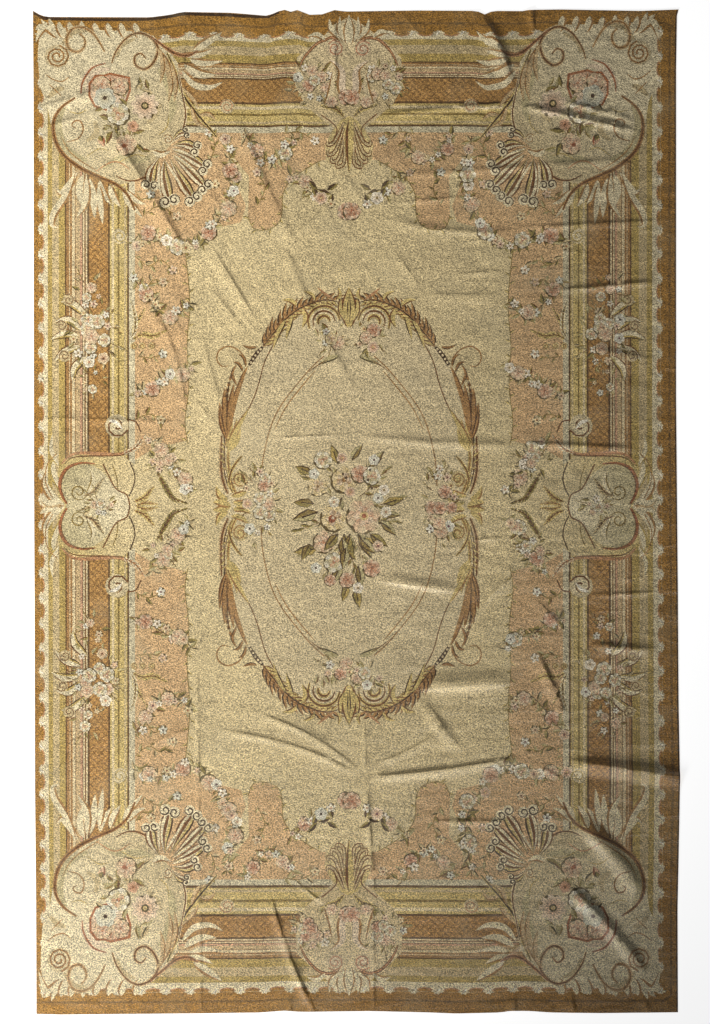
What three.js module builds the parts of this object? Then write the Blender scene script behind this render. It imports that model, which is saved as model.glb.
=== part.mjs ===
// A flat-woven wool tapestry rug, lying open on a floor.
// The rug is one woven panel: its guard border is woven in and its edges are plain selvedges.
// It was stored folded and now lies loosely, so soft ridges and creases cross it.
// Units are millimetres. X is the rug's width, Y its length and Z is up from the floor.

import * as THREE from 'three';

// Driving dimensions
const halfWidth = 1545;
const halfLength = 2405;
const thickness = 2.5;

// How the folds are shaped
const foldEnd = 170; // length over which a fold runs out at each end
const foldUnevenness = 0.18; // share by which its height swells and sinks
const foldWave = 410; // length of one swell along a fold
const edgeFade = 6; // power that keeps the edges' wander close to them

// How finely the sheet is faceted
const acrossFold = [-1, -0.5, 0, 0.5, 1];
const alongFold = 68;
const alongEdge = 100;
const openSpacing = 165;
const closestOnFold = 15;
const closestInOpen = 74;
const edgeSnap = 17;

// Each edge wanders a little: place along the edge, and how far out the edge reaches there.
const edges = {
  top: [
    [-1545, 2405], [-1495, 2376], [-990, 2374], [-895, 2386], [-835, 2400], [-605, 2396],
    [-425, 2381], [-385, 2398], [-350, 2412], [-318, 2400], [-280, 2410], [-230, 2386],
    [-150, 2389], [-118, 2410], [-55, 2402], [300, 2407], [575, 2405], [620, 2386],
    [652, 2405], [795, 2404], [832, 2410], [980, 2412], [1360, 2405], [1545, 2412],
  ],
  bottom: [
    [-1545, 2409], [-1425, 2412], [-750, 2406], [-465, 2402], [-342, 2393], [-270, 2399],
    [65, 2395], [355, 2402], [475, 2407], [690, 2402], [740, 2394], [835, 2395],
    [930, 2402], [1170, 2405], [1545, 2401],
  ],
  left: [
    [-2405, 1536], [-1860, 1538], [-1335, 1543], [-420, 1545], [155, 1548], [1980, 1550],
    [2405, 1553],
  ],
  right: [
    [-2405, 1543], [-1910, 1541], [-1670, 1546], [-1285, 1553], [-900, 1546], [-420, 1543],
    [540, 1534], [2120, 1534], [2385, 1538], [2405, 1546],
  ],
};

// The folds, each a ridge along a line that may bow to its left.
// Columns: start x, start y, end x, end y, bow, height, width of its left and of its right flank.
const folds = [
  // Long diagonal folds of the upper left
  [-1240, 1890, -830, 1220, 0, 22, 38, 120],
  [-635, 1930, -300, 1200, -15, 20, 38, 86],
  [-365, 1330, 15, 555, -20, 15, 38, 77],
  [-765, 1295, -515, 875, 0, 12, 34, 67],
  [-1035, 1085, -805, 420, 60, 11, 29, 62],
  // Puckers and folds that run in from the top edge
  [-345, 2475, -570, 2065, 0, 20, 34, 43],
  [-280, 2460, -295, 2295, 0, 9, 38, 38],
  [-120, 2475, -110, 1970, 0, 9, 29, 29],
  [555, 2450, 750, 2015, 30, 22, 29, 86],
  [825, 2475, 835, 2265, 0, 14, 34, 34],
  // Top left corner
  [-1565, 1915, -1165, 2050, 0, 13, 34, 62],
  [-1530, 1820, -1185, 1935, 0, 9, 38, 38],
  // Across the upper right
  [745, 1945, 85, 1885, 0, 12, 29, 48],
  [745, 1945, 1380, 1805, 0, 14, 38, 29],
  [960, 1965, 1360, 1865, 0, 10, 29, 29],
  [160, 1585, 1330, 1665, 0, 10, 43, 34],
  [120, 1405, 795, 1345, -25, 13, 43, 29],
  [910, 1045, 1495, 1095, 0, 11, 34, 29],
  [1090, 770, 1495, 700, 0, 9, 58, 48],
  // Across the middle
  [-15, 360, 805, 315, -15, 12, 48, 29],
  [745, 315, 1380, 285, 0, 9, 43, 34],
  [45, -325, 535, -400, -5, 13, 34, 29],
  [565, -520, 815, -270, 15, 11, 29, 29],
  [1080, -420, 1495, -400, 0, 9, 38, 29],
  [1065, -630, 1505, -665, 0, 14, 48, 34],
  [855, -640, 1020, -1025, 0, 13, 29, 53],
  // Below the wreath
  [280, -870, 790, -840, 0, 18, 43, 29],
  [285, -895, 505, -1185, 0, 12, 58, 58],
  [25, -1290, 815, -1185, -15, 11, 38, 34],
  [330, -1495, 775, -1495, 0, 9, 29, 29],
  [30, -1260, 75, -1885, 0, 9, 34, 34],
  // Lower right corner
  [985, -1215, 1650, -1310, 0, 20, 58, 53],
  [1025, -1455, 1385, -1890, 30, 20, 58, 86],
  [985, -1765, 1410, -2235, 20, 24, 58, 86],
  [1265, -2035, 1475, -1895, 0, 10, 38, 29],
  [615, -2230, 880, -2030, 0, 11, 34, 29],
  // Bottom edge
  [-405, -1805, -155, -2460, -25, 14, 29, 67],
  [745, -2305, 735, -2460, 0, 9, 43, 43],
  [1010, -2295, 1035, -2460, 0, 9, 43, 43],
];

function foldFromRow([startX, startY, endX, endY, bow, height, leftFlank, rightFlank]) {
  const length = Math.hypot(endX - startX, endY - startY);
  const along = [(endX - startX) / length, (endY - startY) / length];
  return { startX, startY, along, length, bow, height, leftFlank, rightFlank };
}

// Distance that a fold's crest has bowed to the left at a share of its length.
function bowAt(fold, share) {
  return 4 * fold.bow * share * (1 - share);
}

function foldPoint(fold, run, left) {
  const offset = left + bowAt(fold, run / fold.length);
  const x = fold.startX + fold.along[0] * run - fold.along[1] * offset;
  const y = fold.startY + fold.along[1] * run + fold.along[0] * offset;
  return [x, y];
}

function foldHeight(fold, x, y) {
  const dx = x - fold.startX;
  const dy = y - fold.startY;
  const run = dx * fold.along[0] + dy * fold.along[1];
  if (run <= 0 || run >= fold.length) {
    return 0;
  }
  const left = dy * fold.along[0] - dx * fold.along[1] - bowAt(fold, run / fold.length);
  const flank = left > 0 ? fold.leftFlank : fold.rightFlank;
  const across = Math.abs(left) / flank;
  if (across >= 1) {
    return 0;
  }
  const end = Math.min(foldEnd, fold.length / 2);
  const runOut = THREE.MathUtils.smoothstep(Math.min(run, fold.length - run), 0, end);
  const swell = 1 - foldUnevenness * (0.5 + 0.5 * Math.sin((2 * Math.PI * run) / foldWave + fold.startX));
  return fold.height * swell * runOut * (0.5 + 0.5 * Math.cos(Math.PI * across));
}

// Where folds cross, their heights join softly instead of adding up.
function relief(ridges, x, y) {
  return Math.hypot(...ridges.map((fold) => foldHeight(fold, x, y)));
}

function edgeReach(rows, place) {
  const last = rows.findIndex(([along]) => along >= place);
  const [alongB, reachB] = rows[Math.max(last, 1)];
  const [alongA, reachA] = rows[Math.max(last, 1) - 1];
  return THREE.MathUtils.mapLinear(place, alongA, alongB, reachA, reachB);
}

// Moves a place on the straight-edged panel to where the wandering edges take it.
function lay(x, y) {
  const sideRows = x < 0 ? edges.left : edges.right;
  const endRows = y < 0 ? edges.bottom : edges.top;
  const sideShift = (edgeReach(sideRows, y) - halfWidth) * Math.abs(x / halfWidth) ** edgeFade;
  const endShift = (edgeReach(endRows, x) - halfLength) * Math.abs(y / halfLength) ** edgeFade;
  return [x + Math.sign(x) * sideShift, y + Math.sign(y) * endShift];
}

// Gathers the places at which the sheet is faceted, none too close to another.
class Places {
  constructor() {
    this.list = [];
  }

  add(x, y, closest) {
    let placeX = THREE.MathUtils.clamp(x, -halfWidth, halfWidth);
    let placeY = THREE.MathUtils.clamp(y, -halfLength, halfLength);
    if (Math.abs(placeX) > halfWidth - edgeSnap) {
      placeX = Math.sign(placeX) * halfWidth;
    }
    if (Math.abs(placeY) > halfLength - edgeSnap) {
      placeY = Math.sign(placeY) * halfLength;
    }
    if (this.list.every(([a, b]) => Math.hypot(a - placeX, b - placeY) >= closest)) {
      this.list.push([placeX, placeY]);
    }
  }
}

function addCorners(places) {
  places.add(-halfWidth, -halfLength, 0);
  places.add(halfWidth, -halfLength, 0);
  places.add(halfWidth, halfLength, 0);
  places.add(-halfWidth, halfLength, 0);
}

function addEdges(places) {
  edges.top.forEach(([along]) => places.add(along, halfLength, closestOnFold));
  edges.bottom.forEach(([along]) => places.add(along, -halfLength, closestOnFold));
  edges.left.forEach(([along]) => places.add(-halfWidth, along, closestOnFold));
  edges.right.forEach(([along]) => places.add(halfWidth, along, closestOnFold));
  for (let x = -halfWidth + alongEdge; x < halfWidth; x += alongEdge) {
    places.add(x, halfLength, alongEdge / 2);
    places.add(x, -halfLength, alongEdge / 2);
  }
  for (let y = -halfLength + alongEdge; y < halfLength; y += alongEdge) {
    places.add(halfWidth, y, alongEdge / 2);
    places.add(-halfWidth, y, alongEdge / 2);
  }
}

function addFold(places, fold) {
  const steps = Math.ceil(fold.length / alongFold);
  for (let step = 0; step <= steps; step += 1) {
    const run = (fold.length * step) / steps;
    for (const share of acrossFold) {
      const left = share * (share > 0 ? fold.leftFlank : fold.rightFlank);
      places.add(...foldPoint(fold, run, left), closestOnFold);
    }
  }
}

function addOpenField(places) {
  const columns = Math.round((2 * halfWidth) / openSpacing);
  const rows = Math.round((2 * halfLength) / openSpacing);
  for (let row = 1; row < rows; row += 1) {
    for (let column = 1; column < columns; column += 1) {
      const stagger = row % 2 ? 0.25 : -0.25;
      const x = -halfWidth + ((column + stagger) * 2 * halfWidth) / columns;
      const y = -halfLength + (row * 2 * halfLength) / rows;
      places.add(x, y, closestInOpen);
    }
  }
}

function turn([ax, ay], [bx, by], [cx, cy]) {
  return (bx - ax) * (cy - ay) - (by - ay) * (cx - ax);
}

// True where the place lies inside the circle through a triangle's corners.
function circleHolds([a, b, c], [x, y]) {
  const [ax, ay, bx, by, cx, cy] = [a[0] - x, a[1] - y, b[0] - x, b[1] - y, c[0] - x, c[1] - y];
  const lifted = (ax * ax + ay * ay) * (bx * cy - by * cx)
    - (bx * bx + by * by) * (ax * cy - ay * cx)
    + (cx * cx + cy * cy) * (ax * by - ay * bx);
  return lifted > 0;
}

// Joins the places into well-shaped triangles, starting from the panel's two halves.
function triangulate(list) {
  let triangles = [[0, 1, 2], [0, 2, 3]];
  for (let index = 4; index < list.length; index += 1) {
    const place = list[index];
    const opened = new Map();
    const kept = [];
    for (const triangle of triangles) {
      if (!circleHolds(triangle.map((corner) => list[corner]), place)) {
        kept.push(triangle);
        continue;
      }
      triangle.forEach((from, side) => {
        const to = triangle[(side + 1) % 3];
        if (!opened.delete(`${to} ${from}`)) {
          opened.set(`${from} ${to}`, [from, to]);
        }
      });
    }
    for (const [from, to] of opened.values()) {
      if (turn(list[from], list[to], place) > 1) {
        kept.push([from, to, index]);
      }
    }
    triangles = kept;
  }
  return triangles;
}

// The sides of the triangles that no other triangle shares, in the order of their triangles.
function rim(triangles) {
  const open = new Map();
  for (const triangle of triangles) {
    triangle.forEach((from, side) => {
      const to = triangle[(side + 1) % 3];
      if (!open.delete(`${to} ${from}`)) {
        open.set(`${from} ${to}`, [from, to]);
      }
    });
  }
  return [...open.values()];
}

// A closed sheet of one thickness: upper face, lower face and the selvedge round them.
function sheetGeometry(list, triangles, ridges) {
  const lower = list.map(([x, y]) => [...lay(x, y), relief(ridges, x, y)]);
  const upper = lower.map(([x, y, z]) => [x, y, z + thickness]);
  const under = list.length;
  const faces = [];
  for (const [a, b, c] of triangles) {
    faces.push(a, b, c, under + a, under + c, under + b);
  }
  for (const [a, b] of rim(triangles)) {
    faces.push(under + a, under + b, b, under + a, b, a);
  }
  const geometry = new THREE.BufferGeometry();
  const positions = new Float32Array([...upper, ...lower].flat());
  geometry.setAttribute('position', new THREE.BufferAttribute(positions, 3));
  geometry.setIndex(faces);
  geometry.computeVertexNormals();
  return geometry;
}

// Puts the middle of the sheet's extent over the origin.
function centre(geometry) {
  geometry.computeBoundingBox();
  const middle = geometry.boundingBox.getCenter(new THREE.Vector3());
  geometry.translate(-middle.x, -middle.y, 0);
}

function wovenPanel() {
  const ridges = folds.map(foldFromRow);
  const places = new Places();
  addCorners(places);
  ridges.forEach((fold) => addFold(places, fold));
  addEdges(places);
  addOpenField(places);
  const geometry = sheetGeometry(places.list, triangulate(places.list), ridges);
  centre(geometry);
  const wool = new THREE.MeshStandardMaterial({ color: 0xcdb988, roughness: 0.95, metalness: 0 });
  const panel = new THREE.Mesh(geometry, wool);
  panel.name = 'woven_panel';
  return panel;
}

const rug = new THREE.Group();
rug.add(wovenPanel());

export default rug;
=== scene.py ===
import math
import random
from collections import namedtuple

import bpy
import numpy as np
from mathutils import Matrix, Vector, noise
from mathutils.bvhtree import BVHTree
from mathutils.geometry import delaunay_2d_cdt


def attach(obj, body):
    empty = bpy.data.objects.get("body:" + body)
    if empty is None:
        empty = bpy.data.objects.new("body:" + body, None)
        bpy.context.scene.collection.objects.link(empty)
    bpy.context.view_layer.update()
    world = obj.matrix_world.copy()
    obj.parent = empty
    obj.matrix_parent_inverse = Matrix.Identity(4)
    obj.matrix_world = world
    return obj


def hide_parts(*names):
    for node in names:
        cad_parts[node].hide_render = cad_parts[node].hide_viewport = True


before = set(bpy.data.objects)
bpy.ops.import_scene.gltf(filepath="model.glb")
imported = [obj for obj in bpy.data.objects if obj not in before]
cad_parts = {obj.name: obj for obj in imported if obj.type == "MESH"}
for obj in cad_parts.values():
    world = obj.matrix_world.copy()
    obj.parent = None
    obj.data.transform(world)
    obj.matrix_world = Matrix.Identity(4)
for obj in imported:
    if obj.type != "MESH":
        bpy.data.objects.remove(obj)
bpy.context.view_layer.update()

# Driving sizes, in metres unless named otherwise
MM = 0.001
SQUARE = 0.0048  # one square of the weaver's squared-up pattern
NODE = "woven_panel"
HALF_WIDTH = 1.545
HALF_LENGTH = 2.405
THICKNESS = 0.0025
PATTERN_MIDDLE = (-0.036, 0.029)
LATTICE_PITCH = 0.034
RIB_PITCH = 0.0034
CAMERA_HEIGHT = 20.0
VIEW_LENGTH = 4.915
VIEW_MIDDLE_X = -0.0072
SENSOR_WIDTH = 36  # in millimetres

# Light and floor: lamps' spread in degrees
DAYLIGHT = (1.0, 0.955, 0.88)
KEY = {"place": (-3.3, -5.7, 2.75), "aim": (-0.43, 1.48, 0), "size": 2.2, "watts": 113, "spread": 66}
FILL = {"place": (-1.73, 1.5, 2.61), "aim": (-1.73, 1.5, 0), "size": 1.2, "watts": 33, "spread": 141}
SKY_STRENGTH = 0.071
FLOOR_HALF = 20.0
FLOOR_DROP = 0.0004
FLOOR_COLOUR = (0.58, 0.6, 0.635)
FLOOR_GLOW = 0.8

# The wool's surface: noise scales for each metre, bump depths in metres
DYE_LOT_SCALE = 7.0
FADING_SCALE = 2.2
THREAD_SCALE = 260.0
SPECK_SCALE = 140.0
WEAR_SCALE = 5.0
MOST_WEAR = 0.22
BACK_DULLNESS = 0.25
RIB_DEPTH = 0.00035
GRAIN_SCALE = 210.0
GRAIN_DEPTH = 0.0023
RIPPLE_SCALE = 16.0
RIPPLE_DEPTH = 0.005
CRINKLE_SCALE = 7.0
CRINKLE_STRETCH = (0.35, 1.2, 1)
CRINKLE_DEPTH = 0.004
LENGTHWISE = (0.7, 1, 1)

# The lattice's lines and rings, as shares of its pitch
LATTICE_LINE = 0.09
LATTICE_RING = 0.2
LATTICE_RING_LINE = 0.07
LATTICE_STRENGTH = 0.5

# How the folds are shaped
FOLD_END = 0.170  # run over which a fold dies out at each end
FOLD_UNEVENNESS = 0.18  # share of its height by which a crest sinks and swells
FOLD_WAVE = 0.410  # from one swell to the next
EDGE_FADE = 6  # power by which the wandering of the edges dies out inward
STEEP_FLANK = 0.045  # narrower flanks are crisper
CRISPNESS = 1.7
LEAN = 0.4  # share of the far flank by which a crest leans over it
LEAN_MOST = 0.016
NEAR_FLANK = 0.036  # a wide near flank is drawn in towards this
NEAR_SHARE = 0.35
LEAN_WAY = (0.5, 0.87)  # across the rug, towards its top right
EVENNESS = 0.6  # how straight a near flank falls, from rounded 0 to flat 1
WAVER_HEIGHT = 0.0016
WAVER_SCALE = 0.16

# How finely the sheet is faceted
ACROSS_FOLD = (-1, -0.7, -0.35, 0, 0.35, 0.7, 1)
ALONG_FOLD = 0.042
OPEN_SPACING = 0.055
RIM_STEP = 0.030
RIM_GAP = 0.012
EDGE_GAP = 0.0015
CLOSEST = 0.007
CLOSE_STEP = 0.013
FLANK_STEPS = 8
OPEN_REACH = 4.4  # longest open line, in close steps
FOLD_REACH = 1.2  # longest line on a fold, in close steps
STRAIGHT_WITHIN = 0.0003
LOOSE_GAP = 0.008
JOIN_WITHIN = 4e-5

# How the bake's square is shared out
BAKE_MARGIN = 0.004
BAKE_FACE = 0.64
BAKE_BACK = 0.33
BAKE_BACK_HEIGHT = 0.5
BAKE_WALLS_HEIGHT = 0.3
BAKE_WALLS_START = 0.6
BAKE_WALL = 0.02

# Each edge wanders: place along the edge, and how far out it reaches there, in millimetres
EDGES = {
    "top": [
        (-1545, 2405), (-1495, 2376), (-990, 2374), (-895, 2386), (-835, 2400), (-605, 2396),
        (-425, 2381), (-385, 2398), (-350, 2412), (-318, 2400), (-280, 2410), (-230, 2386),
        (-150, 2389), (-118, 2410), (-55, 2402), (300, 2407), (575, 2405), (620, 2386),
        (652, 2405), (795, 2404), (832, 2410), (980, 2412), (1360, 2405), (1545, 2412),
    ],
    "bottom": [
        (-1545, 2409), (-1425, 2412), (-750, 2406), (-465, 2402), (-342, 2393), (-270, 2399),
        (65, 2395), (355, 2402), (475, 2407), (690, 2402), (740, 2394), (835, 2395),
        (930, 2402), (1170, 2405), (1545, 2401),
    ],
    "left": [
        (-2405, 1536), (-1860, 1538), (-1335, 1543), (-420, 1545), (155, 1548), (1980, 1550),
        (2405, 1553),
    ],
    "right": [
        (-2405, 1543), (-1910, 1541), (-1670, 1546), (-1285, 1553), (-900, 1546), (-420, 1543),
        (540, 1534), (2120, 1534), (2385, 1538), (2405, 1546),
    ],
}

# Folds and creases, in millimetres: start x and y, end x and y, bow, height, left and right flank
FOLDS = [
    (-1231, 1895, -821, 1225, 0, 22, 38, 120),
    (-604, 1942, -274, 1212, -15, 8, 48, 86),
    (-385, 1320, -5, 545, -20, 7, 58, 77),
    (-735, 1311, -485, 891, 0, 10, 34, 66),
    (-1060, 1076, -830, 411, 60, 8, 29, 62),
    (-345, 2475, -570, 2065, 0, 20, 34, 43),
    (-280, 2460, -295, 2295, 0, 9, 38, 38),
    (-120, 2475, -110, 1970, 0, 9, 29, 29),
    (541, 2444, 736, 2009, 30, 20, 50, 100),
    (825, 2475, 835, 2265, 0, 14, 34, 34),
    (-1565, 1915, -1165, 2050, 0, 13, 34, 62),
    (-1530, 1820, -1185, 1935, 0, 9, 38, 38),
    (745, 1945, 85, 1885, 0, 9, 29, 48),
    (745, 1945, 1380, 1805, 0, 14, 38, 29),
    (960, 1965, 1360, 1865, 0, 10, 29, 29),
    (160, 1594, 1330, 1674, 0, 6, 53, 34),
    (120, 1386, 795, 1326, -25, 8, 58, 29),
    (910, 1045, 1495, 1095, 0, 11, 34, 29),
    (1090, 770, 1495, 700, 0, 9, 58, 48),
    (-15, 350, 805, 305, -15, 7, 58, 34),
    (745, 315, 1380, 285, 0, 9, 43, 34),
    (45, -329, 535, -404, -5, 11, 75, 24),
    (565, -520, 815, -270, 15, 11, 29, 29),
    (1080, -420, 1495, -400, 0, 9, 38, 29),
    (1065, -650, 1505, -685, 0, 15, 48, 40),
    (846, -644, 1011, -1029, 0, 13, 29, 58),
    (280, -866, 790, -836, 0, 21, 105, 27),
    (285, -895, 505, -1185, 0, 12, 58, 58),
    (25, -1290, 815, -1185, -15, 15, 38, 44),
    (330, -1495, 775, -1495, 0, 9, 29, 29),
    (30, -1260, 75, -1885, 0, 9, 34, 34),
    (985, -1207, 1650, -1302, 0, 33, 58, 72),
    (1014, -1465, 1374, -1900, 30, 24, 90, 66),
    (970, -1778, 1395, -2248, 20, 24, 53, 62),
    (1265, -2035, 1475, -1895, 0, 10, 38, 29),
    (615, -2230, 880, -2030, 0, 11, 34, 29),
    (-430, -1815, -180, -2470, -25, 12, 29, 38),
    (745, -2305, 735, -2460, 0, 9, 43, 43),
    (1010, -2295, 1035, -2460, 0, 9, 43, 43),
]

# Smaller creases, in the same columns
CREASES = [
    (-730, 1085, -500, 795, 0, 6, 38, 48),
    (-770, 875, -640, 405, 0, 6, 38, 58),
    (-840, 2450, -835, 1985, 0, 5, 24, 24),
    (160, 1465, 565, 1505, 0, 5, 29, 24),
    (765, 1345, 1525, 1385, 0, 7, 38, 29),
    (440, 1125, 765, 1150, 0, 5, 29, 24),
    (130, 1300, 330, 1020, 0, 5, 29, 34),
    (265, 1020, 755, 1020, 0, 5, 48, 48),
    (-455, 340, -10, 365, 0, 4, 24, 19),
    (-1585, 440, -790, 420, 0, 5, 29, 38),
    (-810, 555, -650, 375, 0, 5, 29, 34),
    (-360, 1235, -125, 1480, 0, 6, 24, 24),
    (-195, 1040, -80, 1250, 0, 6, 24, 24),
    (-50, 1115, 180, 1375, 0, 6, 24, 24),
    (530, -150, 730, -130, 0, 6, 24, 19),
    (485, -585, 620, -470, 0, 7, 24, 19),
    (-320, -1755, -115, -1905, -15, 5, 24, 19),
    (25, -920, 35, -1295, 0, 5, 24, 24),
    (70, -1860, 75, -2465, 0, 5, 24, 24),
    (-520, -970, 25, -1275, 40, 6, 34, 38),
    (-695, -1065, 25, -1290, 45, 6, 38, 34),
    (40, -1240, 430, -1050, -20, 6, 34, 38),
    (-1080, -1165, -745, -1035, 0, 5, 34, 34),
    (-775, -710, -755, -2465, 0, 5, 24, 24),
    (785, -390, 1025, -640, 20, 6, 34, 43),
    (785, -1180, 1065, -1345, 0, 5, 34, 34),
    (-805, -420, -660, -155, 0, 5, 24, 24),
    (-815, -785, -690, -415, 0, 5, 24, 24),
    (-330, -2305, -340, -2460, 0, 7, 38, 38),
    (1360, -2325, 1410, -2450, 0, 7, 38, 38),
]

# Yarn colours, as sRGB hex
YARNS = {
    "guard": "AC7F38", "guard_dark": "8B6833", "salmon": "BE8E64",
    "ivory": "E6D8B2", "ivory_shade": "C9B68A", "cream": "DFCDA6", "white": "F0E8D4",
    "blue_white": "CFCDB8", "cartouche": "C4B78B",
    "olive": "BCA35E", "olive_pale": "CDB88A", "line": "6B4F2C", "fine_line": "8D6A40",
    "stripe_brown": "AC8350", "stripe_cream": "E2CFA4", "stripe_beige": "CDB284",
    "stripe_rose": "CBA07E", "lattice": "BB9053", "gold": "CFB876", "gold_deep": "8F783F",
    "grey": "D3C8A6", "peach": "D4B182", "field": "DCC99A", "medallion": "DAC89E",
    "pattern_brown": "9E7646", "brown": "77502A", "brown_dark": "4C361F", "outline": "64532E",
    "leaf": "97864B", "leaf_pale": "BDB080", "leaf_dark": "564B29",
    "rose": "D4AE8C", "rose_pale": "E2CDAE", "rose_deep": "BE8A68", "rose_heart": "9E6040",
    "red_line": "A66A42", "plum": "74484A", "bud_yellow": "D8BF86",
}


def srgb_to_linear(value):
    return value / 12.92 if value <= 0.04045 else ((value + 0.055) / 1.055) ** 2.4


def yarn(name):
    code = YARNS[name]
    return tuple(srgb_to_linear(int(code[i:i + 2], 16) / 255) for i in (0, 2, 4))


# Relief


class Fold:
    """A ridge along a line that may bow to its left."""

    def __init__(self, start_x, start_y, end_x, end_y, bow, height, left, right):
        self.start = Vector((start_x, start_y)) * MM
        way = Vector((end_x - start_x, end_y - start_y)) * MM
        self.length = way.length
        self.along = way.normalized()
        self.bow = bow * MM
        self.height = height * MM
        self.left = left * MM
        self.right = right * MM
        self.phase = start_x
        leans_left = self.along.x * LEAN_WAY[1] > self.along.y * LEAN_WAY[0]
        lean = min(LEAN * (self.left if leans_left else self.right), LEAN_MOST)
        self.lean = lean if leans_left else -lean
        self.near_side = -1 if leans_left else 1
        if leans_left:
            self.left -= lean
            self.right = min(self.right, NEAR_FLANK + NEAR_SHARE * self.right)
        else:
            self.right -= lean
            self.left = min(self.left, NEAR_FLANK + NEAR_SHARE * self.left)

    def place(self, run, left):
        share = run / self.length
        offset = left + self.lean + 4 * self.bow * share * (1 - share)
        side = Vector((-self.along.y, self.along.x))
        return self.start + self.along * run + side * offset

    def heights(self, x, y):
        dx = x - self.start.x
        dy = y - self.start.y
        run = dx * self.along.x + dy * self.along.y
        share = np.clip(run / self.length, 0, 1)
        left = dy * self.along.x - dx * self.along.y - self.lean - 4 * self.bow * share * (1 - share)
        flank = np.where(left > 0, self.left, self.right)
        across = np.clip(np.abs(left) / flank, 0, 1)
        crisp = np.where(flank < STEEP_FLANK, CRISPNESS, 1.0)
        end = min(FOLD_END, self.length / 2)
        run_out = np.clip(np.minimum(run, self.length - run) / end, 0, 1)
        run_out = run_out * run_out * (3 - 2 * run_out)
        swell = 1 - FOLD_UNEVENNESS * (0.5 + 0.5 * np.sin(2 * np.pi * run / FOLD_WAVE + self.phase))
        rounded = (0.5 + 0.5 * np.cos(np.pi * across)) ** crisp
        evenness = np.where(left * self.near_side > 0, EVENNESS, 0.0)
        return self.height * swell * run_out * (rounded + evenness * (1 - across - rounded))


RIDGES = [Fold(*row) for row in FOLDS + CREASES]


def folded_cells():
    """Cells of the panel that the folds cross."""
    cells = set()
    for fold in RIDGES:
        for i in range(math.ceil(fold.length / CLOSE_STEP) * 2 + 1):
            for j in range(-FLANK_STEPS, FLANK_STEPS + 1):
                flank = fold.left if j > 0 else fold.right
                spot = fold.place(min(i * CLOSE_STEP / 2, fold.length), flank * j / FLANK_STEPS)
                cells.add((round(spot.x / CLOSE_STEP), round(spot.y / CLOSE_STEP)))
    return cells


FOLDED = folded_cells()


def relief(x, y):
    """Height of the cloth's underside over the floor; where folds cross they join softly."""
    folds = np.sqrt(sum(fold.heights(x, y) ** 2 for fold in RIDGES))
    waver = [noise.noise(Vector((a, b, 0)) / WAVER_SCALE) for a, b in zip(x, y)]
    return folds + WAVER_HEIGHT * np.clip(np.array(waver), 0, 1)


def facing(x, y):
    """Upward normals of the folded cloth."""
    step = 0.5 * MM
    along_x = (relief(x + step, y) - relief(x - step, y)) / (2 * step)
    along_y = (relief(x, y + step) - relief(x, y - step)) / (2 * step)
    normals = np.stack([-along_x, -along_y, np.ones(len(x))], axis=1)
    return normals / np.linalg.norm(normals, axis=1)[:, None]


def reach(edge, along):
    rows = np.array(EDGES[edge]) * MM
    return np.interp(along, rows[:, 0], rows[:, 1])


def lay(x, y):
    """Moves places on the straight-edged panel to where the wandering edges take them."""
    side = np.where(x < 0, reach("left", y), reach("right", y)) - HALF_WIDTH
    end = np.where(y < 0, reach("bottom", x), reach("top", x)) - HALF_LENGTH
    laid_x = x + np.sign(x) * side * np.abs(x / HALF_WIDTH) ** EDGE_FADE
    laid_y = y + np.sign(y) * end * np.abs(y / HALF_LENGTH) ** EDGE_FADE
    return laid_x, laid_y


# Drawing


Shape = namedtuple("Shape", "corners first second origin run is_round banded")


class Pen:
    """Draws filled shapes in its own turned, scaled or mirrored squares of the pattern."""

    def __init__(self, shapes, matrix):
        self.shapes = shapes
        self.matrix = matrix

    def at(self, x=0.0, y=0.0, turn=0.0, size=1.0, flip_x=1, flip_y=1):
        angle = math.radians(turn)
        cos, sin = math.cos(angle) * size, math.sin(angle) * size
        local = Matrix((
            (cos * flip_x, -sin * flip_y, x),
            (sin * flip_x, cos * flip_y, y),
            (0, 0, 1),
        ))
        return Pen(self.shapes, self.matrix @ local)

    def spot(self, x, y):
        place = self.matrix @ Vector((x, y, 1))
        return place.x, place.y

    def fill(self, points, colour, other=None, start=(0, 0), end=None, within=None, banded=False):
        """Fills a shape, running to the other colour towards end or away from start."""
        corners = [self.spot(*point) for point in points]
        turns = sum(
            ax * by - bx * ay
            for (ax, ay), (bx, by) in zip(corners, corners[1:] + corners[:1])
        )
        if abs(turns) < 1e-7:
            return
        if turns < 0:
            corners.reverse()
        origin = self.spot(*start)
        run = (1.0, 0.0)
        if other:
            tip = self.spot(*end) if end else self.spot(start[0] + within, start[1])
            run = (tip[0] - origin[0], tip[1] - origin[1])
        first = yarn(colour)
        second = yarn(other) if other else first
        self.shapes.append(Shape(corners, first, second, origin, run, within is not None, banded))


def spine(points, steps=4):
    """A smooth line through given points."""
    ends = [points[0], *points, points[-1]]
    line = []
    for p0, p1, p2, p3 in zip(ends, ends[1:], ends[2:], ends[3:]):
        for step in range(steps):
            t = step / steps
            line.append(tuple(
                0.5 * (2 * b + (c - a) * t + (2 * a - 5 * b + 4 * c - d) * t * t
                       + (3 * b - a - 3 * c + d) * t ** 3)
                for a, b, c, d in zip(p0, p1, p2, p3)
            ))
    return [*line, tuple(points[-1])]


def arc(radius, start, end, steps, x=0.0, y=0.0):
    angles = [math.radians(start + (end - start) * i / steps) for i in range(steps + 1)]
    return [(x + radius * math.cos(a), y + radius * math.sin(a)) for a in angles]


def spiral(radius, turns, steps_per_turn=9):
    steps = int(turns * steps_per_turn)
    line = []
    for i in range(steps + 1):
        angle = 2 * math.pi * turns * i / steps
        r = radius * (1 - 0.82 * i / steps)
        line.append((r * math.cos(angle), r * math.sin(angle)))
    return line


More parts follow.
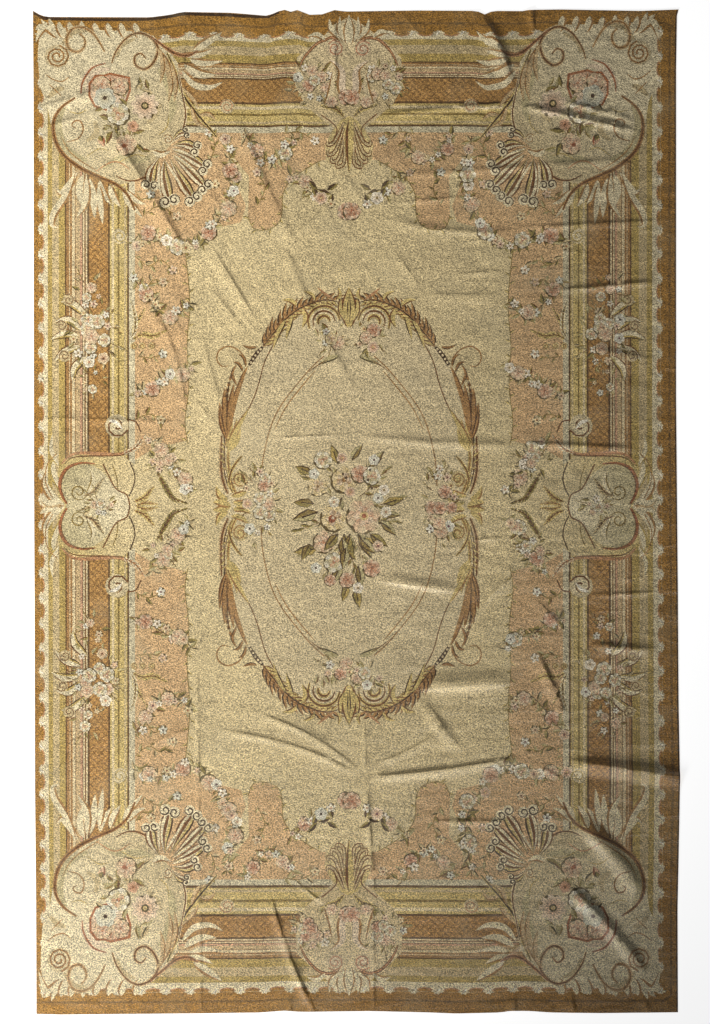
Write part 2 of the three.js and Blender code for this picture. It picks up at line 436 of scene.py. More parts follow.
def hull(points):
    """The outline that encloses the points."""
    outline = []
    for ordered in (sorted(points), sorted(points, reverse=True)):
        chain = []
        for point in ordered:
            while len(chain) > 1 and cross(chain[-2], chain[-1], point) <= 0:
                chain.pop()
            chain.append(point)
        outline += chain[:-1]
    return outline


def quarters_of(pen):
    """The pen mirrored into each quarter of the pattern."""
    return [pen.at(flip_x=flip_x, flip_y=flip_y) for flip_x in (-1, 1) for flip_y in (-1, 1)]


def cross(a, b, c):
    return (b[0] - a[0]) * (c[1] - a[1]) - (b[1] - a[1]) * (c[0] - a[0])


def ribbon(pen, path, width, colour, thin_ends=False):
    """A band of colour along a path."""
    sides = []
    last = len(path) - 1
    for i, (x, y) in enumerate(path):
        ax, ay = path[max(i - 1, 0)]
        bx, by = path[min(i + 1, last)]
        length = math.hypot(bx - ax, by - ay) or 1.0
        half = width / 2
        if thin_ends:
            half *= 0.25 + 0.75 * math.sin(math.pi * (0.08 + 0.84 * i / last))
        nx, ny = -(by - ay) / length * half, (bx - ax) / length * half
        sides.append(((x + nx, y + ny), (x - nx, y - ny)))
    for (a, b), (c, d) in zip(sides, sides[1:]):
        pen.fill(hull([a, b, d, c]), colour)


def disc(pen, radius, colour, steps=8, **gradient):
    pen.fill(arc(radius, 0, 360 - 360 / steps, steps - 1), colour, **gradient)


def leaf(pen, length, width, light, dark, bend=0.0, steps=3, rib=None):
    """A pointed leaf from the pen's place along its X, with a darker edge on its lower side."""
    shares = [i / steps for i in range(steps + 1)]
    middle = [(length * t, bend * length * t * t) for t in shares]
    belly = [width / 2 * math.sin(math.pi * t ** 0.75) for t in shares]
    upper = [(x, y + b) for (x, y), b in zip(middle, belly)][1:-1]
    crease = [(x, y - 0.2 * b) for (x, y), b in zip(middle, belly)][1:-1]
    lower = [(x, y - 0.9 * b) for (x, y), b in zip(middle, belly)][1:-1]
    pen.fill([middle[0], *crease, middle[-1], *upper[::-1]], light)
    pen.fill([middle[0], *lower, middle[-1], *crease[::-1]], dark)
    if rib:
        ribbon(pen, middle[:-1], width * 0.14, rib)


def edged_leaf(pen, length, width, light, dark, bend=0.0):
    """A leaf on a slightly larger dark one that shows as its edge."""
    leaf(pen.at(-0.6, -0.3), length * 1.08, width * 1.25, "leaf_dark", "brown_dark", bend, steps=3)
    leaf(pen, length, width, light, dark, bend, steps=3, rib="brown_dark")


def petal(pen, length, width, root, tip, sideways=False):
    shape = [(0, 0), (0.66 * length, 0.5 * width), (length, 0.22 * width), (length, -0.22 * width),
             (0.66 * length, -0.5 * width)]
    if sideways:
        pen.fill(shape, root, tip, start=(0.6 * length, -0.5 * width),
                 end=(0.75 * length, 0.35 * width))
    else:
        pen.fill(shape, root, tip, start=(0.15 * length, 0), end=(0.8 * length, 0))


# Rose yarns: shaded side, lit side, heart and inner petals
ROSES = {
    "pink": ("rose_deep", "rose_pale", "rose_heart", "rose"),
    "pale": ("rose", "cream", "rose_deep", "rose_pale"),
    "cream": ("bud_yellow", "cream", "pattern_brown", "rose_pale"),
    "white": ("leaf_pale", "white", "rose_deep", "cream"),
}


def rose(pen, radius, kind, chance):
    """A full-blown rose: two rings of petals, each shaded from one side, round a deep heart."""
    deep, pale, heart, inner = ROSES[kind]
    turn = chance.uniform(0, 360)
    disc(pen.at(-0.06 * radius, -0.08 * radius), radius * 1.04, "outline", steps=9)
    for i in range(6):
        at = pen.at(0, 0, turn + i * 60)
        petal(at, radius * chance.uniform(0.9, 1.05), radius * 1.02, deep, pale, sideways=True)
    disc(pen.at(0, -0.04 * radius), radius * 0.6, deep, steps=7)
    for i in range(5):
        at = pen.at(0, 0, turn + 25 + i * 72)
        petal(at, radius * 0.6, radius * 0.58, deep if i % 2 else heart, inner, sideways=True)
    disc(pen, radius * 0.19, heart, steps=6)
    petal(pen.at(0.02 * radius, 0, turn), radius * 0.2, radius * 0.14, pale, pale)


def blossom(pen, radius, tip, root, eye, chance, petals=5):
    """A single flower; a small one is one star-shaped patch with an eye."""
    turn = chance.uniform(0, 360)
    disc(pen.at(-0.1 * radius, -0.16 * radius), radius * 0.86, "outline", steps=6)
    if radius < SMALL_BLOSSOM:
        star = []
        for i in range(petals):
            for out, shift in ((0.86, -0.22), (1.0, 0.18), (0.5, 0.5)):
                angle = math.radians(turn + (i + shift) * 360 / petals)
                star.append((out * radius * math.cos(angle), out * radius * math.sin(angle)))
        pen.fill(star, root, tip, within=radius * 0.8)
    else:
        for i in range(petals):
            petal(pen.at(0, 0, turn + i * 360 / petals), radius, radius * 5.2 / petals, root, tip)
    disc(pen, radius * 0.22, eye, steps=5)


def bud(pen, length, colour, tip):
    leaf(pen, length, length * 0.62, tip, colour)
    leaf(pen, length * 0.55, length * 0.5, "leaf", "leaf_dark")


# Pairs of yarns for leaves, and petal tip, petal root and eye for single flowers
LEAVES = [
    ("leaf_pale", "leaf"), ("leaf", "leaf_dark"), ("leaf_pale", "gold_deep"), ("leaf", "brown"),
    ("olive_pale", "leaf_dark"),
]
BROAD_LEAVES = [("leaf_pale", "gold_deep"), ("olive", "leaf"), ("leaf", "gold_deep")]
BLOSSOMS = [("white", "rose_pale", "gold_deep"), ("white", "blue_white", "plum"),
            ("rose_pale", "rose_deep", "bud_yellow"), ("cream", "rose", "brown"),
            ("white", "cream", "rose_deep"), ("rose_pale", "rose", "plum"),
            ("blue_white", "white", "brown_dark"), ("cream", "bud_yellow", "rose_heart"),]


def spray(pen, length, chance, leaves=5):
    """A thin twig with small leaves."""
    bend = chance.uniform(-0.25, 0.25)
    path = [(length * t, bend * length * t * t) for t in (0, 0.33, 0.66, 1)]
    ribbon(pen, path, 0.7, "brown")
    for i in range(leaves):
        t = (i + 1) / leaves
        at = pen.at(length * t, bend * length * t * t, (40 if i % 2 else -40) * (1.1 - t))
        leaf(at, length * 0.3, length * 0.12, *chance.choice(LEAVES), steps=2)


def any_blossom(pen, radius, chance):
    tip, root, eye = chance.choice(BLOSSOMS)
    blossom(pen, radius, tip, root, eye, chance)


def any_leaf(pen, chance, shortest=5.5, longest=9.5):
    length = chance.uniform(shortest, longest)
    steps = 2 if length < SMALL_LEAF else 3
    leaf(pen, length, length * chance.uniform(0.38, 0.5), *chance.choice(LEAVES),
         bend=chance.uniform(-0.3, 0.3), steps=steps)


def posy(pen, half_x, half_y, count, chance, big=6.5, kinds=("pale", "pink", "cream")):
    """A bunch of leaves, twigs and flowers within an oval."""
    for i in range(int(count * 1.7)):
        angle = 2.4 * i + chance.uniform(-0.4, 0.4)
        out = 0.6 + 0.38 * chance.random()
        x, y = half_x * out * math.cos(angle), half_y * out * math.sin(angle)
        turn = math.degrees(math.atan2(y, x)) + chance.uniform(-35, 35)
        any_leaf(pen.at(x, y, turn), chance, 6, 10)
    for _ in range(max(count // 4, 2)):
        turn = chance.uniform(0, 360)
        x = half_x * 0.6 * math.cos(math.radians(turn))
        y = half_y * 0.6 * math.sin(math.radians(turn))
        spray(pen.at(x, y, turn), chance.uniform(10, 15), chance)
    places = []
    for _ in range(count * 12):
        angle, out = chance.uniform(0, 2 * math.pi), math.sqrt(chance.random()) * 0.86
        x, y = half_x * out * math.cos(angle), half_y * out * math.sin(angle)
        if len(places) < count and all(math.hypot(x - a, y - b) > big * 1.15 for a, b in places):
            places.append((x, y))
    places.sort(key=lambda place: -math.hypot(place[0] / half_x, place[1] / half_y))
    for i, (x, y) in enumerate(places):
        if i >= len(places) * 0.55:
            rose(pen.at(x, y), big * chance.uniform(0.9, 1.2), chance.choice(kinds), chance)
        else:
            any_blossom(pen.at(x, y), big * chance.uniform(0.5, 0.95), chance)


def stops_along(points, gap):
    """Places and headings at even gaps along a smooth line."""
    path = spine(points, 10)
    since = gap / 2
    stops = []
    for (ax, ay), (bx, by) in zip(path, path[1:]):
        since += math.hypot(bx - ax, by - ay)
        if since >= gap:
            since = 0.0
            stops.append((ax, ay, math.degrees(math.atan2(by - ay, bx - ax))))
    return stops


def garland(pen, points, chance, size=5.6):
    """A loose string of leaves and mixed flowers along a line."""
    wander = 4.5
    stops = stops_along(points, 6.0)
    stroke(pen, points, 0.9, "leaf_dark", thin_ends=False)
    for x, y, turn in stops:
        for side in (-1, 1):
            at = pen.at(x, y, turn + side * chance.uniform(30, 85))
            any_leaf(at, chance, 7, 12)
        any_leaf(pen.at(x, y, turn + chance.uniform(100, 260)), chance, 8, 12)
    for i, (x, y, _) in enumerate(stops):
        at = pen.at(x + chance.uniform(-wander, wander), y + chance.uniform(-wander, wander))
        if i % 5 == 2:
            rose(at, size * 1.35, chance.choice(("pale", "pink", "white")), chance)
        elif chance.random() < 0.85:
            any_blossom(at, size * chance.uniform(0.55, 1.0), chance)


def twig(pen, points, chance):
    """A leafy scrolling twig with a flower at its end."""
    stroke(pen, points, 1.1, "gold_deep")
    for i, (x, y, turn) in enumerate(stops_along(points, 4.6)):
        side = 1 if i % 2 else -1
        any_leaf(pen.at(x, y, turn + side * chance.uniform(30, 60)), chance, 6, 10)
    any_blossom(pen.at(*points[-1]), 5, chance)


def acanthus(pen, points, size, light, dark, gap=4.0, spread=32, rib="brown", both=True):
    """A serrated scrolling leaf: lobes on both sides of a curved rib, shorter towards its tip."""
    stops = stops_along(points, gap)
    for i, (x, y, turn) in enumerate(stops):
        share = (i + 0.5) / len(stops)
        length = size * (0.45 + 0.75 * math.sin(math.pi * share ** 0.8))
        steps = 2 if length < SMALL_LEAF else 3
        for side in (-1, 1) if both else (1,):
            at = pen.at(x, y, turn + side * spread, flip_y=side)
            leaf(at, length, length * 0.46, light, dark, bend=-0.28, steps=steps)
    end, before = points[-1], points[-2]
    turn = math.degrees(math.atan2(end[1] - before[1], end[0] - before[0]))
    leaf(pen.at(end[0], end[1], turn), size * 0.8, size * 0.4, light, dark)
    stroke(pen, points, max(size * 0.13, 0.7), rib)


def flame(pen, points, width, light, dark, steps=4, peak=0.8):
    """One long curling leaf with a darker lower edge."""
    path = spine(points, steps)
    last = len(path) - 1
    edges = {-1.0: [], -0.45: [], 1.0: []}
    for i, (x, y) in enumerate(path[1:-1], 1):
        ax, ay = path[i - 1]
        bx, by = path[i + 1]
        length = math.hypot(bx - ax, by - ay)
        half = width / 2 * math.sin(math.pi * (i / last) ** peak)
        for share, edge in edges.items():
            edge.append((x - (by - ay) / length * half * share, y + (bx - ax) / length * half * share))
    root, tip = path[0], path[-1]
    pen.fill([root, *edges[-0.45], tip, *edges[1.0][::-1]], light)
    pen.fill([root, *edges[-1.0], tip, *edges[-0.45][::-1]], dark)


def flames(pen, rows, light, dark):
    """Curling leaves of the same two yarns, from rows of points and width."""
    for points, width in rows:
        flame(pen, points, width, light, dark)


def stroke(pen, points, width, colour, thin_ends=True):
    """A smooth line drawn through given points."""
    ribbon(pen, spine(points, 3), width, colour, thin_ends)


def volute(pen, radius, turns=1.6, rim="brown", fill="ivory"):
    """A round scroll end: a pale disc with a spiral line wound into it."""
    disc(pen, radius, fill, steps=11, other="ivory_shade", within=radius * 1.3)
    ribbon(pen, spiral(radius * 0.97, turns), max(radius * 0.15, 0.9), rim)


def curl(pen, radius, turns, colour, width=1.3):
    """An open curling tendril."""
    ribbon(pen, spiral(radius, turns, 10), width, colour, thin_ends=True)


def scroll_band(pen, points, width, rim, fill):
    """A band between two darker lines."""
    path = spine(points, 4)
    ribbon(pen, path, width, rim, thin_ends=True)
    ribbon(pen, path, width * 0.5, fill, thin_ends=True)


# The pattern

SMALL_BLOSSOM = 5.2
SMALL_LEAF = 8.5
FIELD_SIDE = 220.5  # half width inside the moulding, in squares
FIELD_END = 380.0  # half length inside the moulding, in squares

# Widths of the bands from the field outward, in squares, on each side
BAND_WIDTHS = {
    "left": (19, 20.5, 23, 17.5, 9),
    "right": (18, 22, 22, 22, 10),
    "top": (23, 25, 15.5, 23, 8),
    "bottom": (29, 23, 20.5, 24, 11),
}
PALE_STRIP = 6.5
GUARD_SQUARES = 12

# Stripes from the field outward: the level where each begins, and its yarn. Whole levels are the
# inner edges of the moulding 0, lattice 1, stripes 2, olive band 3, trim 4 and guard 5.
STRIPES = [
    (-1.0, "grey"), (-0.12, "line"), (0.05, "gold"), (0.1, "olive_pale"), (0.2, "gold"),
    (0.45, "gold_deep"), (0.56, "gold"), (0.74, "stripe_cream"), (0.86, "gold"), (0.96, "line"),
    (1.04, "lattice"), (1.96, "line"), (2.04, "stripe_cream"), (2.11, "fine_line"),
    (2.16, "stripe_cream"), (2.22, "line"), (2.27, "stripe_rose"), (2.37, "stripe_beige"),
    (2.54, "fine_line"), (2.59, "stripe_cream"), (2.7, "stripe_brown"), (2.79, "stripe_cream"),
    (2.84, "stripe_brown"), (2.96, "line"), (3.03, "olive"), (3.36, "olive_pale"), (3.72, "olive"),
    (4.0, "ivory"), (4.85, "guard"), (5.55, "guard_dark"), (5.75, "guard"),
]
LEVELS = 8.0  # from the lowest level drawn, -1, to the highest, 7
OFF_LEVEL = -5.0  # level given to all that isn't a band


def level_out(side, level):
    """How far a level lies outside the moulding's inner edge, in squares."""
    if level <= 0:
        return level * PALE_STRIP
    whole = int(level)
    widths = BAND_WIDTHS[side]
    return sum(widths[:whole]) + (widths[whole] * (level - whole) if whole < len(widths) else 0)


def band_corners(level):
    left = -FIELD_SIDE - level_out("left", level)
    right = FIELD_SIDE + level_out("right", level)
    top = FIELD_END + level_out("top", level)
    bottom = -FIELD_END - level_out("bottom", level)
    return [(left, bottom), (right, bottom), (right, top), (left, top)]


def level_at(x, y):
    """Level of places of the pattern, given in squares."""
    highest = np.full(np.shape(x), -1.0)
    along = {"left": -x, "right": x, "top": y, "bottom": -y}
    for side, out in along.items():
        start = FIELD_END if side in ("top", "bottom") else FIELD_SIDE
        outs = [level_out(side, level) for level in range(-1, 6)]
        levels = list(range(-1, 6))
        outs.append(outs[-1] + 2 * GUARD_SQUARES)
        levels.append(7)
        highest = np.maximum(highest, np.interp(out - start, outs, levels))
    return highest


def draw_bands(pen):
    """The bands' own edges; their colours follow from the level."""
    for level in (5, 4, 3, 2, 1, 0, -1):
        pen.fill(band_corners(level), "peach", banded=level >= 0)


def draw_dark_strip_and_edge_shadow(pen):
    """A dark strip along the left part of the top edge, and a thin painted shadow line down the right
    side.
    """
    # a dark strip along the left part of the top edge
    ribbon(pen, [(-314, 493.4), (-250, 492.2), (-180, 493.2), (-110, 492.6), (-70, 494.4)], 3.2,
           "brown_dark")
    # painted shadow: a thin dark line down the right side, standing for the shade where the edge meets
    # the floor
    ribbon(pen, [(328.6, -506), (328.4, -200), (328.6, 100), (328.4, 494)], 1.5, "brown_dark")


def draw_trim(pen, chance):
    """The scalloped leaf trim between the guard and the olive band, with a salmon line in each bay."""
    pitch = 24.5
    corners = band_corners(4.8)
    for index, (start, end) in enumerate(zip(corners, corners[1:] + corners[:1])):
        length = math.dist(start, end)
        count = round(length / pitch)
        turn = math.degrees(math.atan2(end[1] - start[1], end[0] - start[0]))
        side = ("bottom", "right", "top", "left")[index]
        reach_out = BAND_WIDTHS[side][4] * 0.34
        for i in range(count):
            at = pen.at(*start, turn).at((i + 0.5) * length / count + chance.uniform(-1, 1), 0)
            bay = length / count
            at.fill([(-bay * 0.36, 0.4), (-bay * 0.24, 2.8), (0, 3.8), (bay * 0.24, 2.8),
                    (bay * 0.36, 0.4)], "salmon")
            at.fill([(-bay * 0.34, -0.6), (-bay * 0.2, 1.6), (0, 2.6), (bay * 0.2, 1.6),
                    (bay * 0.34, -0.6)], "guard")
            tip = at.at(bay / 2, 0)
            tip.fill([(-bay * 0.24, 0.6), (-bay * 0.22, -0.25 * reach_out),
                     (-bay * 0.13, -0.4 * reach_out), (-bay * 0.12, -0.8 * reach_out),
                     (-0.5, -0.66 * reach_out), (bay * 0.06, -reach_out),
                     (bay * 0.1, -0.5 * reach_out), (bay * 0.22, -0.4 * reach_out),
                     (bay * 0.24, 0.6)], "ivory")
            flame(tip, [(2.5, 3.5), (0.5, 0), (-2, -0.7 * reach_out)], 2.2, "white", "ivory_shade",
                  steps=2)


def draw_grounds(pen):
    """Field, panels and the medallion's ground."""
    field = [(163, 0), (161, 60), (164, 84), (160, 120), (162, 160), (159, 200), (162, 240), (164, 262),
             (140, 276), (108, 284), (103, 300), (112, 322), (126, 334), (118, 352), (100, 330),
             (101, 288), (96, 278), (84, 276), (72, 281), (67, 292), (66, 312), (58, 326), (42, 338),
             (28, 346), (0, 348), (0, 0)]
    patch = [(214, 0), (214, 46), (196, 57), (176, 62), (160, 66), (158, 0)]
    for quarter in quarters_of(pen):
        quarter.fill(field, "field")
        quarter.fill(patch, "field")
    pen.fill([wreath_place(360 * i / 48) for i in range(48)], "medallion")


def wreath_place(angle):
    """A place on the wreath's bulging oval, from its right side round by its head."""
    half_x, half_y, middle_y, bulge = 125, 200, 2, 2.4
    cos, sin = math.cos(math.radians(angle)), math.sin(math.radians(angle))
    x = math.copysign(abs(cos) ** (2 / bulge), cos) * half_x
    y = math.copysign(abs(sin) ** (2 / bulge), sin) * half_y
    return x, y + middle_y


def draw_leafy_edges(pen, chance):
    """The thin leafy edging where the panels meet the field."""
    edges = [[(161, 62), (164, 84), (160, 120), (162, 160), (159, 200), (162, 240), (165, 262)],
             [(28, 346), (42, 338), (58, 326), (66, 312), (67, 292), (72, 281), (84, 276),
             (96, 278), (101, 290)],]
    for points in edges:
        stroke(pen, points, 0.9, "gold_deep", thin_ends=False)
        for i, (x, y, turn) in enumerate(stops_along(points, 6.5)):
            side = 1 if i % 2 else -1
            at = pen.at(x, y, turn + side * chance.uniform(25, 50), flip_y=side)
            leaf(at, chance.uniform(5, 8), 2.8, "gold", "leaf_dark", bend=0.3, steps=2)


def draw_side_panel(pen, chance):
    """One quarter of a long side: garlands, bracket and small scrolls over the panel."""
    garland(pen, [(214, 112), (196, 120), (180, 130), (166, 131), (158, 142)], chance)
    garland(pen, [(214, 226), (199, 208), (182, 190), (168, 194), (160, 204)], chance)
    garland(pen, [(198, 66), (186, 56), (176, 42), (168, 26), (160, 14)], chance, size=5.8)
    posy(pen.at(184, 44), 15, 13, 6, chance, big=4.8, kinds=("white", "pale"))
    for points in ([(214, 86), (200, 92), (188, 86)], [(212, 150), (198, 148), (186, 152)],
                   [(214, 250), (200, 240), (188, 246), (176, 236)], [(204, 214), (196, 226),
                   (186, 224)]):
        twig(pen, points, chance)
    for x in (197, 206.5, 215):
        volute(pen.at(x, 160, 90), 3.8, 1.3, "pattern_brown", "gold")
    acanthus(pen, [(217, 166), (208, 171), (196, 170), (186, 174)], 7, "gold", "gold_deep", gap=3.6)
    acanthus(pen, [(216, 170), (213, 182), (206, 194)], 6, "gold", "leaf_dark", gap=3.6)
    acanthus(pen, [(218, 168), (214, 176), (214, 190), (217, 202)], 5.5, "ivory", "leaf", gap=3.8)


def draw_end_panel(pen, chance):
    """One quarter of an end: garlands and hanging strings over the panels."""
    garland(pen, [(216, 263), (190, 271), (163, 259), (146, 266), (134, 282), (122, 300), (116, 322),
                  (119, 345), (123, 370)], chance, size=6.0)
    garland(pen, [(104, 372), (84, 346), (68, 350), (56, 366)], chance, size=5.2)
    garland(pen, [(60, 332), (46, 322), (34, 308)], chance, size=5.2)
    for points in ([(206, 290), (190, 300), (172, 290)], [(160, 300), (150, 318), (134, 322)],
                   [(140, 344), (134, 360), (140, 374)], [(92, 300), (84, 318), (92, 334)],
                   [(214, 316), (206, 306), (198, 312)], [(66, 372), (50, 374), (34, 366)]):
        twig(pen, points, chance)
    for x, y, turn in ((30, 316, 200), (36, 320, 250), (22, 316, 150), (16, 312, 290), (40, 326, 230)):
        leaf(pen.at(x, y, turn), 13, 6, "leaf", "brown_dark", rib="brown_dark")
    rose(pen.at(3, 295), 9, "pink", chance)
    any_blossom(pen.at(28, 308), 6.5, chance)
    any_blossom(pen.at(18, 302), 5, chance)


def draw_side_cartouche(pen, chance):
    """Half of the heart-shaped cartouche that breaks a long border at its middle."""
    ground = [(288, 0), (292, 20), (290, 38), (280, 48), (262, 54), (244, 50), (226, 50), (212, 40),
              (204, 20), (204, 0)]
    pen.fill(ground, "field", "gold", start=(240, 0), end=(296, 30))
    flame(pen, [(284, 0), (296, 8), (304, 22), (302, 36)], 9, "ivory", "stripe_brown")
    flame(pen, [(286, 4), (300, 2), (309, 8)], 8, "ivory", "stripe_beige")
    flame(pen, [(284, 10), (293, 26), (296, 40), (290, 54)], 7, "ivory", "olive")
    flame(pen, [(290, 40), (298, 56), (296, 72)], 6, "ivory", "olive")
    stroke(pen, [(296, 8), (303, 24), (301, 42), (292, 52)], 1.0, "stripe_brown", thin_ends=False)
    stroke(pen, [(287, 42), (279, 50), (268, 53), (246, 52), (228, 52), (214, 60), (205, 70)], 3.4,
           "salmon")
    stroke(pen, [(285, 41), (277, 48), (262, 50), (246, 50), (226, 51), (214, 57)], 1.4, "brown")
    acanthus(pen, [(226, 52), (214, 58), (206, 68)], 6, "ivory", "salmon", gap=3.6)
    draw_cartouche_heart(pen, chance)
    draw_cartouche_scrolls(pen)


def draw_cartouche_heart(pen, chance):
    """Half of the cartouche's heart, with its rim, scroll and flowers."""
    heart = [(282, 0), (285, 9), (288, 19), (286, 29), (279, 38), (267, 42), (255, 40), (246, 34),
             (238, 24), (231, 16), (225, 13), (221, 8), (219, 0)]
    pen.fill(heart, "cartouche", "ivory", start=(280, 30), end=(240, 0))
    rim = spine([(282, 2), (286, 9), (289, 19), (287, 30), (280, 39), (267, 43), (254, 42)], 3)
    ribbon(pen, rim, 3.2, "red_line", thin_ends=True)
    ribbon(pen, [(x - 1.6, y - 0.6) for x, y in rim], 1.0, "brown", thin_ends=True)
    stroke(pen, [(246, 42), (240, 30), (235, 20), (230, 15), (222, 11), (219, 0)], 1.4, "brown",
           thin_ends=False)
    stroke(pen, [(236, 40), (232, 28), (231, 16)], 1.0, "gold_deep", thin_ends=False)
    curl(pen.at(270, 14, 200), 9, 1.5, "gold_deep", 1.6)
    acanthus(pen, [(266, 10), (256, 14), (248, 24)], 7, "olive_pale", "leaf_dark", gap=3.4)
    flame(pen, [(262, 12), (256, 24), (258, 36)], 5, "ivory", "gold_deep")
    posy(pen.at(248, 0), 13, 9, 4, chance, big=4.6, kinds=("white", "pale"))


def draw_cartouche_scrolls(pen):
    """Volute and leaves that leave the cartouche for the panel."""
    volute(pen.at(232, 80, 200), 12, 1.3, "brown", "ivory")
    flame(pen, [(240, 86), (232, 84), (226, 76)], 5, "white", "ivory_shade")
    stroke(pen, [(221, 86), (213, 84), (208, 74)], 1.4, "brown", thin_ends=False)
    acanthus(pen, [(216, 4), (206, 8), (198, 16)], 7, "gold", "brown", gap=3.4)
    acanthus(pen, [(214, 0), (204, 3), (195, 2)], 6, "gold", "pattern_brown", gap=3.4)
    stroke(pen, [(220, 10), (216, 18), (214, 30), (219, 44)], 1.2, "brown_dark", thin_ends=False)
    acanthus(pen, [(192, 34), (184, 20), (176, 8), (166, 4)], 7, "leaf", "brown_dark", gap=3.6)


def draw_border_posy(pen, chance):
    """The bouquet laid over a long border, with pale leaves behind it."""
    for points in ([(268, 176), (280, 186), (294, 184)], [(270, 170), (284, 172), (298, 166)],
                   [(268, 160), (284, 154), (294, 144)], [(262, 150), (274, 138), (276, 124)],
                   [(262, 190), (276, 202), (288, 204)]):
        flame(pen, points, 9.5, "brown", "brown_dark")
        flame(pen, points, 7, "ivory", "olive")
    for x, y, turn in ((287, 180, 30), (284, 150, -30), (280, 206, 60)):
        volute(pen.at(x, y, turn), 6, 1.4, "brown", "olive_pale")
    posy(pen.at(254, 170), 25, 34, 14, chance, big=6.4, kinds=("pale", "white", "white"))
    posy(pen.at(260, 214), 13, 18, 5, chance, big=4.8, kinds=("white", "pale"))
    posy(pen.at(256, 124), 12, 14, 4, chance, big=4.6, kinds=("white", "pale"))


def draw_corner(pen, chance):
    """A corner cartouche: ivory ground, scrolls, palmette and bouquet."""
    ground = [(285, 351), (294, 366), (298, 386), (301, 404), (308, 420), (310, 454), (307, 486),
              (279, 483), (249, 481), (207, 480), (196, 475), (182, 460), (171, 444), (169, 426),
              (163, 406), (162, 386), (168, 371), (178, 362), (190, 348), (199, 334), (215, 325),
              (233, 321), (253, 330), (271, 340)]
    pen.fill(ground, "ivory", "ivory_shade", start=(255, 430), end=(170, 350))
    draw_corner_leaves(pen)
    draw_corner_shades(pen)
    draw_corner_curves(pen)
    draw_corner_scrolls(pen)
    draw_corner_stems(pen)
    draw_corner_bouquet(pen, chance)
    draw_palmette(pen)
    volute(pen.at(229, 270, 90), 8, 1.5, "olive", "ivory")
    volute(pen.at(122, 400, 0), 7.5, 1.5, "salmon", "stripe_cream")


def draw_corner_shades(pen):
    """Soft shades on the corner's ivory ground."""
    shades = (
        ([(284, 400), (290, 386), (288, 368), (278, 354), (262, 346)], 8, "cartouche"),
        ([(246, 338), (230, 348), (212, 346), (198, 350)], 7, "cartouche"),
        ([(180, 384), (176, 400), (180, 420), (190, 440)], 8, "cartouche"),
        ([(262, 416), (258, 430), (250, 438), (238, 440)], 6, "rose_pale"),
        ([(300, 410), (292, 418), (284, 420)], 6, "ivory_shade"),
        ([(232, 452), (228, 464), (214, 472)], 5, "ivory_shade"),
        ([(286, 466), (276, 478), (262, 480)], 5, "ivory_shade"),
        ([(202, 384), (194, 392), (188, 404)], 6, "ivory_shade"),
        ([(262, 366), (252, 374), (254, 386)], 6, "ivory_shade"),
    )
    for points, width, colour in shades:
        stroke(pen, points, width, colour)


def draw_corner_curves(pen):
    """The corner's great curve with its stem and tendrils, and the red curve below."""
    curve = [(273, 410), (287, 400), (294.6, 386), (293.4, 368), (285, 352), (269, 339), (251, 330),
             (233, 322), (221, 311), (214, 296)]
    band_line(pen, curve, 4.6, "stripe_brown", "brown")
    lines = (
        ([(249, 334), (259, 340), (271, 348), (281, 358), (287, 370)], 1.2, "stripe_brown"),
        ([(253, 335), (239, 344), (229, 344), (219, 337)], 1.5, "salmon"),
        ([(233, 331), (223, 326), (211, 326), (201, 332), (194, 344)], 1.7, "brown"),
        ([(282, 365), (271, 368), (265.4, 377), (268, 386), (274, 386), (276.6, 382), (272.6, 379)],
         1.7, "pattern_brown"),
        ([(287, 412), (299, 424)], 1.3, "stripe_brown"),
        ([(303, 435), (295, 429), (286, 427), (279, 432)], 1.4, "stripe_brown"),
        ([(230, 344), (214, 352), (203, 350)], 1.0, "olive"),
        ([(262, 350), (250, 358), (240, 356)], 0.9, "olive"),
        ([(262, 398), (270, 394), (279, 396)], 1.0, "olive"),
        ([(190, 372), (182, 380), (180, 392)], 1.0, "olive"),
    )
    for points, width, colour in lines:
        stroke(pen, points, width, colour)
    band_line(pen, [(267.4, 414), (266.6, 424), (262, 434), (255, 442), (243, 446)], 4.6,
              "rose_pale", "red_line")


def draw_corner_scrolls(pen):
    """Scrolls at the corner's foot."""
    band_line(pen, [(237, 446), (233, 458), (223, 472), (211, 478), (199, 474), (191, 462),
              (194.6, 448), (204, 440), (213, 444), (214, 453), (208, 456.4), (203, 451)], 4.4,
              "stripe_beige", "brown")
    volute(pen.at(291, 453, 100), 12.5, 2.3, "pattern_brown", "ivory")
    band_line(pen, [(244, 458), (249, 468), (256, 478), (266, 484), (276, 482), (281.5, 472),
              (279, 461), (270, 458), (264, 464), (264, 472), (269, 477)], 4.4, "stripe_beige",
              "pattern_brown")


def draw_corner_stems(pen):
    """Stems and leaves at the corner's inner side."""
    band_line(pen, [(199, 475), (183, 461), (172, 453), (161, 451), (151, 456)], 4.2, "salmon", "brown")
    band_line(pen, [(182, 456), (173, 434), (166, 412), (154, 395), (143, 382), (132, 369)], 4.6,
              "gold", "brown_dark")
    band_line(pen, [(171, 436), (167, 414), (163.4, 391), (168, 373), (176, 366), (181, 368),
              (178, 372)], 3.6, "stripe_cream", "brown")
    flames(pen, (
        ([(192, 462), (182, 444), (178, 422), (181, 404)], 7),
        ([(188, 460), (186, 440), (189, 424)], 5), ([(178, 446), (173, 424), (175, 404)], 5),
        ([(158, 400), (152, 384), (140, 378)], 5), ([(168, 420), (156, 408), (150, 398)], 5),
        ([(150, 391), (140, 392), (133, 386)], 5),
    ), "stripe_beige", "pattern_brown")


def band_line(pen, points, width, fill, edge):
    """A pale band with a darker line along its middle."""
    path = spine(points, 4)
    ribbon(pen, path, width, fill, thin_ends=True)
    ribbon(pen, path, width * 0.42, edge, thin_ends=True)


